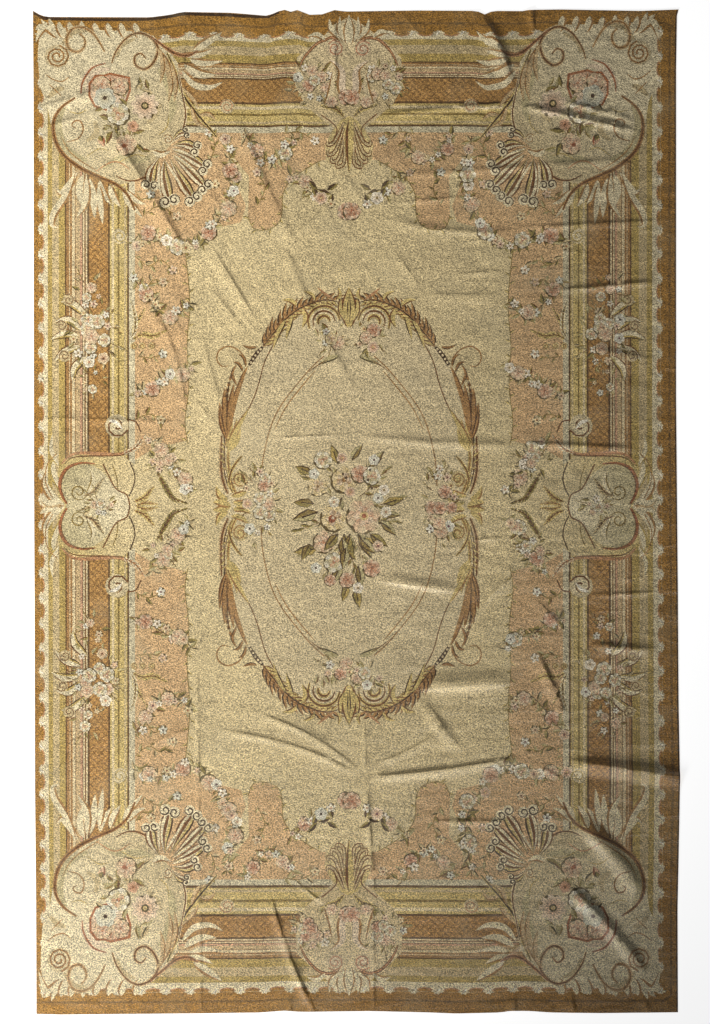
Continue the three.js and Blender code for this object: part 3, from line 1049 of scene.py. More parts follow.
def draw_corner_leaves(pen):
    """Ivory leaves that break over the bands, and the leafy tip at the very corner."""
    flames(pen, (
        ([(259, 328), (254, 308), (254, 288)], 11), ([(249, 326), (245, 314), (238, 302)], 9),
        ([(265, 332), (268, 314), (262, 294)], 10),
        ([(271, 334), (279, 321), (287, 313), (293, 318)], 8),
        ([(273, 336), (282, 312), (294, 293), (296, 281), (289, 279)], 8),
        ([(239, 322), (235, 310), (228, 299)], 8), ([(262, 330), (262, 306), (272, 288)], 8),
        ([(250, 322), (247, 300), (246, 282)], 8),
        ([(226, 320), (221, 306), (212, 296), (206, 288)], 7),
        ([(222, 316), (212, 306), (203, 302)], 6), ([(165, 442), (149, 433), (132, 432)], 10),
        ([(159, 447), (145, 444), (126, 446)], 8),
        ([(167, 436), (155, 423), (139, 420), (126, 425)], 9),
        ([(156, 456), (141, 466), (127, 475)], 9), ([(168, 452), (150, 452), (136, 458)], 7),
    ), "ivory", "stripe_brown")
    for tip in ((307, 491), (312, 477), (299, 494), (289, 490), (279, 490), (267, 491), (254, 489),
                (241, 489), (312, 464), (228, 489), (214, 489)):
        root = (min(tip[0] - 4, 290), 472)
        flame(pen, [root, ((root[0] + tip[0]) / 2 + 2, 484), tip], 8, "ivory", "stripe_brown", steps=3)


def draw_corner_bouquet(pen, chance):
    bowl = [(253, 402), (258, 412), (258, 424), (252, 432), (244, 432), (239, 434), (230, 432),
            (221, 430), (220, 418), (224, 406), (240, 398)]
    pen.fill([(240 + (x - 240) * 1.12, 414 + (y - 414) * 1.12) for x, y in bowl], "red_line")
    pen.fill(bowl, "rose_pale", "rose", start=(240, 404), end=(240, 434))
    stroke(pen, [(239, 432), (238, 424), (240, 416)], 1.4, "red_line")
    for x, y, turn in ((231, 374, 265), (236, 376, 310), (226, 376, 240), (247, 378, 170),
                       (246, 382, 200), (209, 358, 200), (213, 364, 235), (208, 418, 80),
                       (200, 419, 60), (213, 418, 110), (196, 414, 30), (250, 392, 190),
                       (222, 380, 250), (216, 374, 160), (232, 384, 280), (222, 402, 60),
                       (224, 410, 80), (254, 396, 140)):
        any_leaf(pen.at(x, y, turn), chance, 10, 16)
    spray(pen.at(232, 386, 250), 24, chance)
    spray(pen.at(214, 380, 290), 20, chance)
    blossom(pen.at(204, 402), 14, "rose_pale", "rose", "gold_deep", chance, petals=9)
    disc(pen.at(204, 402), 4.2, "leaf_dark", steps=7)
    disc(pen.at(204, 402), 2.4, "bud_yellow", steps=6)
    rose(pen.at(247, 424), 9, "pale", chance)
    rose(pen.at(229, 422), 9, "pale", chance)
    rose(pen.at(231, 394), 12, "white", chance)
    blossom(pen.at(244, 410), 11, "blue_white", "grey", "brown_dark", chance)
    rose(pen.at(223, 362), 10.5, "pale", chance)
    disc(pen.at(225, 361), 2.4, "rose_heart", steps=6)
    bud(pen.at(249, 372, 250), 13, "rose_heart", "rose")
    blossom(pen.at(216, 381), 6, "rose", "rose_deep", "brown", chance)


def finger(pen, points, width):
    """One lobe of a palmette: two dark lines round a pale body, curled apart at its tip."""
    flame(pen, points, width, "brown", "brown_dark", peak=1.6)
    flame(pen, points, width * 0.72, "ivory", "gold", peak=1.6)
    flame(pen, points, width * 0.24, "brown", "brown", steps=3, peak=1.6)
    end, before = points[-1], points[-2]
    turn = math.degrees(math.atan2(end[1] - before[1], end[0] - before[0]))
    tip = pen.at(end[0], end[1], turn)
    for side in (-1, 1):
        at = tip.at(-width * 0.1, side * width * 0.34, 60 * side, flip_y=side)
        disc(at, width * 0.44, "ivory", steps=8)
        curl(at, width * 0.42, 1.3, "brown_dark", 1.6)


def draw_palmette(pen):
    """A palmette of lobes fanned from a small scroll."""
    lobes = (
        ([(188, 352), (197, 336), (199, 320)], 12), ([(184, 350), (185, 328), (179, 304)], 14),
        ([(180, 350), (168, 326), (155, 306)], 13), ([(178, 352), (160, 336), (143, 318)], 12),
        ([(178, 356), (160, 349), (143, 338)], 12), ([(178, 360), (164, 362), (152, 357)], 11),
        ([(178, 364), (170, 372), (162, 374)], 8),
    )
    for points, width in lobes:
        finger(pen, points, width)
    for points in ([(184, 346), (172, 328), (160, 308)], [(189, 344), (190, 326), (187, 308)],
                   [(176, 352), (160, 341), (144, 324)], [(178, 358), (164, 354), (150, 345)]):
        flame(pen, points, 3.4, "ivory", "pattern_brown", steps=3)
    volute(pen.at(181, 367, 40), 5.5, 1.5, "pattern_brown", "ivory")
    flame(pen, [(196, 356), (188, 352), (178, 356)], 7, "ivory", "pattern_brown")


def draw_end_middle(pen, chance):
    """Half of an end's middle: anthemion, bouquet and scrolls over the border."""
    ground = [(0, 328), (12, 332), (22, 344), (24, 362), (16, 378), (28, 388), (44, 402), (54, 420),
              (52, 448), (36, 464), (16, 480), (0, 490)]
    pen.fill(ground, "olive_pale", "stripe_cream", start=(0, 380), end=(0, 480))
    pen.fill([(0, 330), (14, 334), (23, 346), (24, 362), (14, 378), (8, 386), (0, 390)], "field",
             "gold", start=(0, 330), end=(0, 386))
    posy(pen.at(35, 424), 24, 20, 12, chance, big=5.8, kinds=("pale", "pink", "white"))
    scroll_band(pen, [(49, 440), (42, 454), (30, 466), (17, 468), (8, 460), (8, 450)], 3.4, "brown",
                "salmon")
    volute(pen.at(14, 457, 40), 9.0, 1.7, "rose_deep", "rose_pale")
    flame(pen, [(2, 400), (8, 418), (8, 436), (20, 446)], 9, "rose_pale", "stripe_brown")
    flame(pen, [(24, 400), (18, 416), (16, 436)], 7, "stripe_cream", "pattern_brown")
    # Paired fingers of the anthemion, each an outlined curve with a round tip
    for tip_x, tip_y, root_y in ((21, 359, 384), (20.5, 349, 378), (17, 342, 370), (12, 337, 362)):
        path = spine([(5, root_y), (tip_x - 7, tip_y + 6), (tip_x, tip_y + 2),
                     (tip_x + 0.6, tip_y + 7)], 3)
        ribbon(pen, path, 4.6, "brown", thin_ends=True)
        ribbon(pen, path, 2.2, "olive_pale", thin_ends=True)
    leaf(pen.at(0, 388, -90), 56, 9, "gold", "brown", steps=4)
    stroke(pen, [(28, 392), (18, 384), (12, 376), (16, 364)], 1.3, "brown", thin_ends=False)
    acanthus(pen, [(4, 388), (12, 396), (24, 400)], 7, "gold", "leaf_dark", gap=3.6)
    rose(pen.at(3, 409), 8, "pink", chance)
    rose(pen.at(17, 404), 6, "pale", chance)
    for points in ([(2, 462), (3, 476), (0, 492)], [(5, 464), (10, 476), (9, 490)], [(8, 466),
                   (18, 476), (20, 488)], [(24, 468), (32, 474), (42, 472)]):
        flame(pen, points, 6, "ivory", "stripe_brown")


def draw_wreath_quarter(pen):
    """A quarter of the brown acanthus wreath, from its side to its crest."""
    draw_wreath_side(pen)
    draw_wreath_feathers(pen)
    draw_wreath_tendrils(pen)
    draw_wreath_heavy_leaf(pen)
    draw_wreath_crest(pen)


def draw_wreath_side(pen):
    """Bands at the wreath's side, the scroll inside them and their leaves."""
    band_line(pen, [(127.4, 70), (128, 49), (127.4, 33), (125, 22), (121, 12)], 5.4, "stripe_beige",
              "brown")
    stroke(pen, [(124.6, 72), (125, 49), (124.4, 33), (121, 20)], 1.2, "brown_dark", thin_ends=False)
    band_line(pen, [(119, 66), (121, 49), (119.4, 33), (116, 19), (110, 8)], 4.2, "gold",
              "pattern_brown")
    volute(pen.at(109, 27, 200), 8.5, 1.6, "pattern_brown", "gold")
    band_line(pen, [(116, 13), (120, 22), (118, 34), (113, 43), (107, 50)], 3.6, "gold", "brown")
    acanthus(pen, [(124, 62), (124, 44), (120, 24)], 7, "gold", "brown", gap=5, spread=150, both=False)
    flames(pen, (
        ([(121, 6), (129, 10), (133, 20)], 7), ([(118, 0), (128, 3), (136, 4)], 8),
        ([(116, 4), (106, 3), (98, 8)], 7), ([(118, 10), (108, 12), (100, 18)], 6),
        ([(122, 54), (113, 64), (108, 78)], 6), ([(122, 56), (115, 70), (112, 88)], 6),
        ([(123, 58), (119, 76), (118, 92)], 6),
    ), "gold", "pattern_brown")


def draw_wreath_feathers(pen):
    """Feathered leaves up the wreath's side."""
    flame(pen, [(123, 66), (120, 80), (115, 104), (106, 130), (101, 140)], 6, "stripe_brown", "brown")
    acanthus(pen, [(123, 66), (125, 86), (123, 108), (119, 126)], 7.5, "stripe_brown", "brown",
             gap=5, spread=26, rib="brown_dark")
    flames(pen, (
        ([(121, 74), (119, 100), (115, 123)], 6), ([(122, 78), (125, 98), (124.5, 119)], 5),
        ([(122, 66), (127, 84), (129.5, 104)], 7), ([(122, 70), (125, 86), (125.5, 100)], 4),
    ), "stripe_brown", "brown")
    for points in ([(122, 72), (122, 98), (120, 124)], [(123, 70), (127, 86), (129, 100)],
                   [(122, 64), (113, 78), (101, 97)]):
        stroke(pen, points, 1.0, "brown_dark")
    flame(pen, [(121, 62), (112, 78), (100, 98)], 6, "gold", "pattern_brown")


def draw_wreath_tendrils(pen):
    """A row of beads, then a curled tendril with small leaves."""
    beads = [(101, 139), (96, 147), (91, 154), (85, 160)]
    stroke(pen, beads, 4.4, "brown_dark")
    for x, y, turn in stops_along(beads, 3.5):
        disc(pen.at(x, y), 1.35, "stripe_cream", steps=5)
    ring = [(103, 140), (104.7, 149), (112, 156.7), (122, 159.6), (130.4, 154.6), (132, 146),
            (127, 139.6), (120.4, 140.3)]
    stroke(pen, ring, 1.5, "pattern_brown")
    for points in ([(103, 139), (105, 148), (111, 152)], [(106, 134), (110, 142), (116, 144)],
                   [(92, 159), (99, 158), (107, 161)], [(112, 120), (117, 132), (112, 142)]):
        flame(pen, points, 3.4, "pattern_brown", "brown_dark", steps=3)


def draw_wreath_heavy_leaf(pen):
    """The heavy leaf towards the crest, lobed on both sides."""
    heavy = [(86, 159), (79.6, 167.4), (71, 178), (62, 188), (50, 197), (36, 203), (22, 206), (8, 203)]
    flame(pen, heavy, 7.5, "stripe_brown", "brown", peak=0.6)
    for i, (x, y, turn) in enumerate(stops_along(heavy, 5.6)):
        size = 1.0 if y < 196 else 0.75
        outer, inner = (13 + 3 * (i % 3)) * size, (12 + 3 * (i % 2)) * size
        leaf(pen.at(x, y, turn - 52), outer, 5, "stripe_brown", "brown_dark", bend=0.3, steps=3)
        leaf(pen.at(x, y, turn + 50, flip_y=-1), inner, 4, "gold", "brown", bend=0.35, steps=3)
    stroke(pen, heavy, 1.3, "brown_dark")
    for points in ([(63, 186), (70, 174), (76, 156)], [(56, 190), (60, 178), (63, 166)]):
        flame(pen, points, 5, "gold", "brown_dark")


def draw_wreath_crest(pen):
    """Bands arched over one another, and half of a tall leaf at the middle."""
    for radius, fill in ((16, "gold"), (11, "stripe_cream"), (6, "gold")):
        band_line(pen, arc(radius, 175, -25, 6, 25, 184), 4.8, fill, "brown")
    for x, y, turn in ((34, 178, 250), (20, 178, 290), (26, 182, 270), (12, 176, 300)):
        leaf(pen.at(x, y, turn), 10, 4.4, "leaf_pale", "brown")
    flames(pen, (
        ([(46, 197), (43, 188), (47, 178)], 6), ([(1, 178), (4, 198), (0, 219)], 9),
        ([(3, 184), (9, 196), (8, 208)], 5), ([(12, 206), (9, 212), (11, 219)], 4),
        ([(34, 206), (38, 212), (46, 215)], 4), ([(52, 200), (58, 205), (67, 206)], 5),
    ), "gold", "brown")
    ribbon(pen, [(0.4, 184), (1.5, 198), (0.4, 212)], 1.2, "brown_dark", thin_ends=True)
    flame(pen, [(15, 206), (24, 212), (32, 219)], 3, "salmon", "stripe_brown")
    flame(pen, [(10, 150), (20, 147), (31, 141)], 6, "leaf_pale", "leaf_dark")
    stroke(pen, [(22, 146), (31, 141), (40, 134)], 1.0, "brown")


def draw_inner_ovals(pen):
    """The thin brown lines inside the medallion, broken where the flowers lie."""
    outer = [(119, 72), (101, 96), (91, 120), (84, 145), (72, 168), (63, 188)]
    inner = [(88, 20), (86, 47), (78, 80), (67, 102), (50, 124), (38, 138), (25, 150)]
    shadow = [(x - 4, y - 3) for x, y in inner[2:-1]]
    for quarter in quarters_of(pen):
        ribbon(quarter, spine(outer, 4), 1.1, "brown")
        ribbon(quarter, spine(inner, 4), 1.1, "pattern_brown")
        ribbon(quarter, spine(shadow, 4), 1.3, "stripe_brown", thin_ends=True)


# Centre bouquet: x, y and radius in squares, and kind of rose
CENTRE_ROSES = [
    (-25, 44, 9, "white"), (-4, 24, 13, "cream"), (12, 30, 9, "pink"), (-30, 18, 10, "cream"),
    (24, 28, 9, "white"), (-24, -38, 11, "pale"), (-14, -58, 10, "white"), (24, -64, 9, "pink"),
    (-1, -76, 8, "pink"), (-14, -14, 13.5, "cream"), (16, -12, 17, "pale"), (-18, -76, 6, "pink"),
]
# Its long leaves: x and y of the root in squares, heading in degrees and length
CENTRE_LEAVES = [
    (2, -30, 262, 24), (-4, -30, 285, 26), (10, -30, 312, 26), (16, -34, 330, 22), (32, -18, 335, 20),
    (-30, -8, 200, 26), (-34, 0, 170, 20), (-30, -44, 195, 24), (-38, -40, 240, 18), (-10, 40, 110, 20),
    (4, 44, 70, 18), (20, 36, 50, 22), (36, 0, 20, 20), (34, -10, 355, 18), (-8, -60, 255, 22),
    (10, -62, 290, 22), (0, -80, 250, 18), (8, -84, 275, 20), (-36, 30, 150, 18), (-6, 6, 250, 18),
]


def draw_centre_bouquet(pen, chance):
    for turn, length in ((62, 40), (35, 44), (8, 46), (-8, 40), (150, 46), (190, 44), (120, 40),
                         (250, 42), (275, 40), (300, 36), (215, 46)):
        angle = math.radians(turn)
        spray(pen.at(14 * math.cos(angle), -10 + 30 * math.sin(angle), turn), length * 0.8, chance,
              leaves=7)
    for x, y, turn, length in CENTRE_LEAVES:
        edged_leaf(pen.at(x, y, turn), length, length * 0.42, *chance.choice(BROAD_LEAVES),
                   bend=chance.uniform(-0.25, 0.25))
    for x, y, radius, kind in CENTRE_ROSES:
        rose(pen.at(x, y), radius, kind, chance)
    disc(pen.at(16, -12), 4.6, "bud_yellow", steps=8)
    disc(pen.at(16, -12), 2.6, "rose_heart", steps=6)
    disc(pen.at(-16, -15), 4.0, "rose_heart", steps=7)
    disc(pen.at(-15, -14), 1.8, "rose_pale", steps=5)
    for x, y, turn in ((2, -32, 255), (-6, -34, 278), (12, -34, 315), (22, -30, 325),
                       (-2, -44, 262), (-10, -30, 230)):
        edged_leaf(pen.at(x, y, turn), 21, 9, *chance.choice(BROAD_LEAVES))
    for x, y in ((30, 6), (36, 14), (-34, 30), (-6, 46), (30, -42), (-32, -64), (10, -84), (38, -8),
                 (-14, 2), (2, 12), (26, 44)):
        any_blossom(pen.at(x, y), 5.5, chance)
    for x, y in ((-5, 30), (-2, 26), (20, 24), (24, 16), (22, 34)):
        disc(pen.at(x, y), 1.5, "brown_dark", steps=5)


def draw_medallion_flowers(pen, chance):
    posy(pen.at(-90, 4), 17, 42, 14, chance, big=6.4, kinds=("pale", "white", "pink"))
    posy(pen.at(92, 2), 17, 42, 14, chance, big=6.4, kinds=("pale", "white", "pink"))
    posy(pen.at(-16, 168), 14, 12, 5, chance, big=6.0)
    posy(pen.at(20, 168), 14, 13, 5, chance, big=6.6, kinds=("pink", "pale"))
    posy(pen.at(-10, -162), 15, 13, 5, chance, big=7.0, kinds=("pink", "pale"))
    posy(pen.at(18, -170), 15, 11, 5, chance, big=6.5, kinds=("white", "pale"))


def draw_pattern():
    """All shapes of the pattern, each drawn over those before it."""
    shapes = []
    chance = random.Random(11)
    pen = Pen(shapes,
              Matrix(((SQUARE, 0, PATTERN_MIDDLE[0]), (0, SQUARE, PATTERN_MIDDLE[1]), (0, 0, 1))))
    quarters = quarters_of(pen)
    draw_bands(pen)
    draw_dark_strip_and_edge_shadow(pen)
    draw_trim(pen, chance)
    draw_grounds(pen)
    for quarter in quarters:
        draw_leafy_edges(quarter, chance)
        draw_side_panel(quarter, chance)
        draw_end_panel(quarter, chance)
        draw_corner(quarter, chance)
        draw_side_cartouche(quarter, chance)
        draw_border_posy(quarter, chance)
        draw_end_middle(quarter, chance)
    draw_inner_ovals(pen)
    for quarter in quarters:
        draw_wreath_quarter(quarter)
    draw_medallion_flowers(pen, chance)
    draw_centre_bouquet(pen.at(-1, 2), chance)
    return shapes


# The sheet


def inside(x, y):
    return abs(x) < HALF_WIDTH - RIM_GAP and abs(y) < HALF_LENGTH - RIM_GAP


def rim_places():
    """Places round the panel's edge, one way round, corners first on each side."""
    corners = [(-HALF_WIDTH, -HALF_LENGTH), (HALF_WIDTH, -HALF_LENGTH), (HALF_WIDTH, HALF_LENGTH),
               (-HALF_WIDTH, HALF_LENGTH)]
    places = []
    for (ax, ay), (bx, by) in zip(corners, corners[1:] + corners[:1]):
        count = round(math.dist((ax, ay), (bx, by)) / RIM_STEP)
        places += [(ax + (bx - ax) * i / count, ay + (by - ay) * i / count) for i in range(count)]
    return places


def relief_places():
    """Places that catch the folds closely and the open cloth loosely."""
    places = []
    cells = set()
    for fold in RIDGES:
        steps = max(round(fold.length / ALONG_FOLD), 2)
        for i in range(steps + 1):
            for share in ACROSS_FOLD:
                flank = fold.left if share > 0 else fold.right
                spot = fold.place(fold.length * i / steps, share * flank)
                cell = (round(spot.x / CLOSEST), round(spot.y / CLOSEST))
                if inside(spot.x, spot.y) and cell not in cells:
                    cells.add(cell)
                    places.append((spot.x, spot.y))
    near = {(round(x / OPEN_SPACING), round(y / OPEN_SPACING)) for x, y in places}
    columns, rows = int(HALF_WIDTH / OPEN_SPACING) + 1, int(HALF_LENGTH / OPEN_SPACING) + 1
    for i in range(-columns, columns + 1):
        for j in range(-rows, rows + 1):
            x, y = i * OPEN_SPACING, j * OPEN_SPACING
            if inside(x, y) and (i, j) not in near:
                places.append((x, y))
    return places


def clipped(points, limit_x, limit_y):
    """A shape cut to the panel, one straight side at a time."""
    for axis, limit, sign in ((0, limit_x, 1), (0, limit_x, -1), (1, limit_y, 1), (1, limit_y, -1)):
        kept = []
        for a, b in zip(points, points[1:] + points[:1]):
            out_a, out_b = a[axis] * sign > limit, b[axis] * sign > limit
            if out_a != out_b:
                t = (limit * sign - a[axis]) / (b[axis] - a[axis])
                cut = (a[0] + (b[0] - a[0]) * t, a[1] + (b[1] - a[1]) * t)
            if not out_a and not out_b:
                kept.append(b)
            elif out_a and not out_b:
                kept += [cut, b]
            elif not out_a:
                kept.append(cut)
        points = kept
    return points


def eased(corners):
    """The outline with more corners on its long sides, closest where it crosses a fold."""
    outline = []
    for a, b in zip(corners, corners[1:] + corners[:1]):
        outline.append(a)
        steps = math.ceil(math.dist(a, b) / CLOSE_STEP)
        for i in range(1, steps):
            x, y = (a[0] + (b[0] - a[0]) * i / steps, a[1] + (b[1] - a[1]) * i / steps)
            if i % 4 == 0 or (round(x / CLOSE_STEP), round(y / CLOSE_STEP)) in FOLDED:
                outline.append((x, y))
    return outline


def cut_face(shapes, rim):
    """Cuts the panel along the pattern's lines and tells each triangle its uppermost shape."""
    places = [Vector(place) for place in rim]
    faces = [list(range(len(rim)))]
    boxes = [(-HALF_WIDTH, HALF_WIDTH, -HALF_LENGTH, HALF_LENGTH)]
    owners = [0]
    for index, shape in enumerate(shapes):
        corners = clipped(shape.corners, HALF_WIDTH - EDGE_GAP, HALF_LENGTH - EDGE_GAP)
        if len(corners) < 3:
            continue
        corners = eased(corners)
        across, along = zip(*corners)
        first = len(places)
        places += [Vector(corner) for corner in corners]
        faces.append(list(range(first, len(places))))
        boxes.append((min(across), max(across), min(along), max(along)))
        owners.append(index + 1)
    verts, _, tris, _, _, sources = delaunay_2d_cdt(places, [], faces, 0, JOIN_WITHIN, True)
    kept, tops = [], []
    for tri, source in zip(tris, sources):
        if 0 not in source:
            continue
        x = sum(verts[i].x for i in tri) / 3
        y = sum(verts[i].y for i in tri) / 3
        holding = [
            i for i in source
            if boxes[i][0] <= x <= boxes[i][1] and boxes[i][2] <= y <= boxes[i][3]
        ]
        kept.append(tri)
        tops.append(owners[max(holding)])
    return verts, kept, tops


def triangle_sides(tri):
    return ((tri[0], tri[1]), (tri[1], tri[2]), (tri[2], tri[0]))


def looks(shapes):
    """One number for each shape, shared by shapes of the same flat colour."""
    numbers = {}
    kinds = [0]
    for index, shape in enumerate(shapes, 1):
        plain = shape.first == shape.second and not shape.banded
        kinds.append(numbers.setdefault(shape.first, index) if plain else index)
    return kinds


def seen_lines(tris, tops):
    """The sides at which the look changes, with the look on the left of each."""
    left = {side: top for tri, top in zip(tris, tops) for side in triangle_sides(tri)}
    return {(a, b): top for (a, b), top in left.items() if left.get((b, a)) != top}


def straightened(verts, lines):
    """The lines without the corners that only hidden shapes had left on them."""
    onward = {}
    for a, b in lines:
        onward.setdefault(a, []).append(b)
    lines = dict(lines)
    for v, ends in onward.items():
        ends = [end for end in onward[v] if (v, end) in lines]
        if len(ends) != 2 or (ends[0], v) not in lines or (ends[1], v) not in lines:
            continue
        a, c = ends
        place, start, end = verts[v], verts[a], verts[c]
        length = (end - start).length
        cell = (round(place.x / CLOSE_STEP), round(place.y / CLOSE_STEP))
        longest = CLOSE_STEP * (FOLD_REACH if cell in FOLDED else OPEN_REACH)
        if length > longest or length == 0 or (c, a) in lines or (a, c) in lines:
            continue
        off = abs(cross(start, end, place)) / length
        if off > STRAIGHT_WITHIN:
            continue
        for first, last in ((a, c), (c, a)):
            lines[(first, last)] = lines.pop((first, v))
            del lines[(v, last)]
            onward[first].append(last)
    return lines


def flat_tree(verts, tris):
    return BVHTree.FromPolygons([(v.x, v.y, 0) for v in verts], tris)


def facet(verts, tris, tops, kinds, loose):
    """Cuts the face again along its seen lines only, with the loose places between them."""
    lines = straightened(verts, seen_lines(tris, [kinds[top] for top in tops]))
    used = sorted({v for line in lines for v in line})
    number = {v: i for i, v in enumerate(used)}
    places = [verts[v] for v in used]
    taken = {(round(v.x / LOOSE_GAP), round(v.y / LOOSE_GAP)) for v in places}
    places += [Vector(spot) for spot in loose
               if (round(spot[0] / LOOSE_GAP), round(spot[1] / LOOSE_GAP)) not in taken]
    edges = [(number[a], number[b]) for a, b in lines if a < b or (b, a) not in lines]
    made, _, made_tris, _, _, _ = delaunay_2d_cdt(places, edges, [], 0, JOIN_WITHIN, False)
    before = flat_tree(verts, tris)
    owners = []
    for tri in made_tris:
        x = sum(made[i].x for i in tri) / 3
        y = sum(made[i].y for i in tri) / 3
        owners.append(tops[before.find_nearest((x, y, 0))[2]])
    return made, made_tris, owners


def rim_loop(tris):
    """The corners round the face's edge, one way round."""
    sides = {side for tri in tris for side in triangle_sides(tri)}
    onward = {a: b for a, b in sides if (b, a) not in sides}
    loop = [min(onward)]
    while onward[loop[-1]] != loop[0]:
        loop.append(onward[loop[-1]])
    return loop


def paint_corners(shapes, tops, x, y):
    """Yarn colour and level at each corner, x and y being rows of three corners."""
    plain = Shape([], yarn("guard"), yarn("guard"), (0, 0), (1, 0), False, True)
    table = [plain, *shapes]
    origin = np.array([shape.origin for shape in table])[tops]
    run = np.array([shape.run for shape in table])[tops]
    is_round = np.array([shape.is_round for shape in table])[tops][:, None]
    first = np.array([shape.first for shape in table])[tops][:, None, :]
    second = np.array([shape.second for shape in table])[tops][:, None, :]
    dx, dy = x - origin[:, :1], y - origin[:, 1:]
    length = (run ** 2).sum(axis=1)[:, None]
    straight = (dx * run[:, :1] + dy * run[:, 1:]) / length
    share = np.clip(np.where(is_round, np.sqrt((dx ** 2 + dy ** 2) / length), straight), 0, 1)
    colours = first + (second - first) * share[:, :, None]
    banded = np.array([shape.banded for shape in table])[tops][:, None]
    level = level_at((x - PATTERN_MIDDLE[0]) / SQUARE, (y - PATTERN_MIDDLE[1]) / SQUARE)
    return colours, np.where(banded, level, OFF_LEVEL)


def bake_spots(x, y, column, width, height):
    """Where places of the panel lie on the bake's square."""
    u = column + (x + HALF_WIDTH) / (2 * HALF_WIDTH) * width
    v = BAKE_MARGIN + (y + HALF_LENGTH) / (2 * HALF_LENGTH) * height
    return np.stack([u, v], axis=-1)


def back_face(rim, loose):
    """The underside, faceted more loosely than the face, so its pattern is blurred."""
    places = [Vector(place) for place in rim + loose]
    verts, _, tris, _, _, _ = delaunay_2d_cdt(places, [], [list(range(len(rim)))], 1, JOIN_WITHIN, True)
    return verts, tris


def stripe_colours(level):
    """Yarn colours of the bands at the given levels."""
    starts = np.array([start for start, _ in STRIPES])
    colours = np.array([yarn(name) for _, name in STRIPES])
    return colours[np.clip(np.searchsorted(starts, level, side="right") - 1, 0, None)]


def seen_through(shapes, verts, tris, tops, places):
    """Colour of the face over each of the back's places."""
    flat = flat_tree(verts, tris)
    hits = [flat.find_nearest((place.x, place.y, 0))[2] for place in places]
    x = np.array([[place.x] for place in places])
    y = np.array([[place.y] for place in places])
    colours, level = paint_corners(shapes, np.array(tops)[hits], x, y)
    return np.where(level[:, :, None] > OFF_LEVEL, stripe_colours(level), colours)[:, 0]


def selvedge(loop, under):
    """Triangles between the face's edge and the back's, whose corners start at under."""
    onward = loop[1:] + loop[:1]
    below = under + np.arange(len(loop))
    below_onward = np.roll(below, -1)
    return np.concatenate([
        np.stack([below, below_onward, onward], axis=1), np.stack([below, onward, loop], axis=1),
    ])


def bake_layout(x, y, face, back, walls):
    """Where corners lie on the bake's square: face on the left, back and selvedge right."""
    column = BAKE_FACE + 2 * BAKE_MARGIN
    wall_spots = bake_spots(x[walls], y[walls], column, BAKE_BACK, BAKE_WALLS_HEIGHT)
    wall_spots[:, :, 1] += BAKE_WALLS_START + BAKE_WALL * (walls >= back.min())
    return np.concatenate([
        bake_spots(x[face], y[face], BAKE_MARGIN, BAKE_FACE, 1 - 2 * BAKE_MARGIN),
        bake_spots(x[back], y[back], column, BAKE_BACK, BAKE_BACK_HEIGHT),
        wall_spots,
    ])


def build_sheet(shapes):
    """One closed sheet: the woven face, its back and the selvedge between them."""
    rim = rim_places()
    loose = relief_places()
    verts, tris, tops = cut_face(shapes, rim)
    front, front_tris, front_tops = facet(verts, tris, tops, looks(shapes), loose)
    loop = rim_loop(front_tris)
    rear, rear_tris = back_face([(front[a].x, front[a].y) for a in loop], loose)
    rear_colours = seen_through(shapes, front, front_tris, front_tops, rear)
    x = np.array([v.x for v in front] + [v.x for v in rear])
    y = np.array([v.y for v in front] + [v.y for v in rear])
    height = relief(x, y)
    height[:len(front)] += THICKNESS
    laid_x, laid_y = lay(x, y)
    laid_x -= (laid_x.max() + laid_x.min()) / 2
    laid_y -= (laid_y.max() + laid_y.min()) / 2
    under = len(front)
    face = np.array(front_tris)
    back = under + np.array(rear_tris)[:, ::-1]
    walls = selvedge(loop, under)
    mesh = bpy.data.meshes.new("rug")
    mesh.from_pydata(
        np.stack([laid_x, laid_y, height], axis=1).tolist(), [],
        np.concatenate([face, back, walls]).tolist(),
    )
    colours, level = paint_corners(shapes, np.array(front_tops), x[face], y[face])
    edge_colours = np.tile(np.array(yarn("guard_dark")), (len(walls), 3, 1))
    rgb = np.concatenate([colours, rear_colours[back - under], edge_colours])
    rgba = np.concatenate([rgb, np.ones((*rgb.shape[:2], 1))], axis=2)
    off_level = np.full((len(back) + len(walls), 3), OFF_LEVEL)
    sides = np.repeat([0.0, 1.0, 0.5], [len(face), len(back), len(walls)])[:, None] * np.ones(3)
    spots = bake_layout(x, y, face, back, walls)
    mesh.color_attributes.new("yarn", "FLOAT_COLOR", "CORNER").data.foreach_set("color", rgba.ravel())
    fields = {"level": np.concatenate([level, off_level]), "back": sides}
    for name, values in fields.items():
        mesh.attributes.new(name, "FLOAT", "CORNER").data.foreach_set("value", values.ravel())
    mesh.uv_layers.new(name="OFBake").data.foreach_set("uv", spots.ravel())
    mesh.polygons.foreach_set("use_smooth", [True] * (len(face) + len(back)) + [False] * len(walls))
    mesh.update()
    normals = facing(x, y)
    corner_normals = np.concatenate([normals[face], -normals[back], np.zeros((len(walls), 3, 3))])
    mesh.normals_split_custom_set(corner_normals.reshape(-1, 3).tolist())
    rug = bpy.data.objects.new("rug", mesh)
    bpy.context.scene.collection.objects.link(rug)
    return rug


# Materials


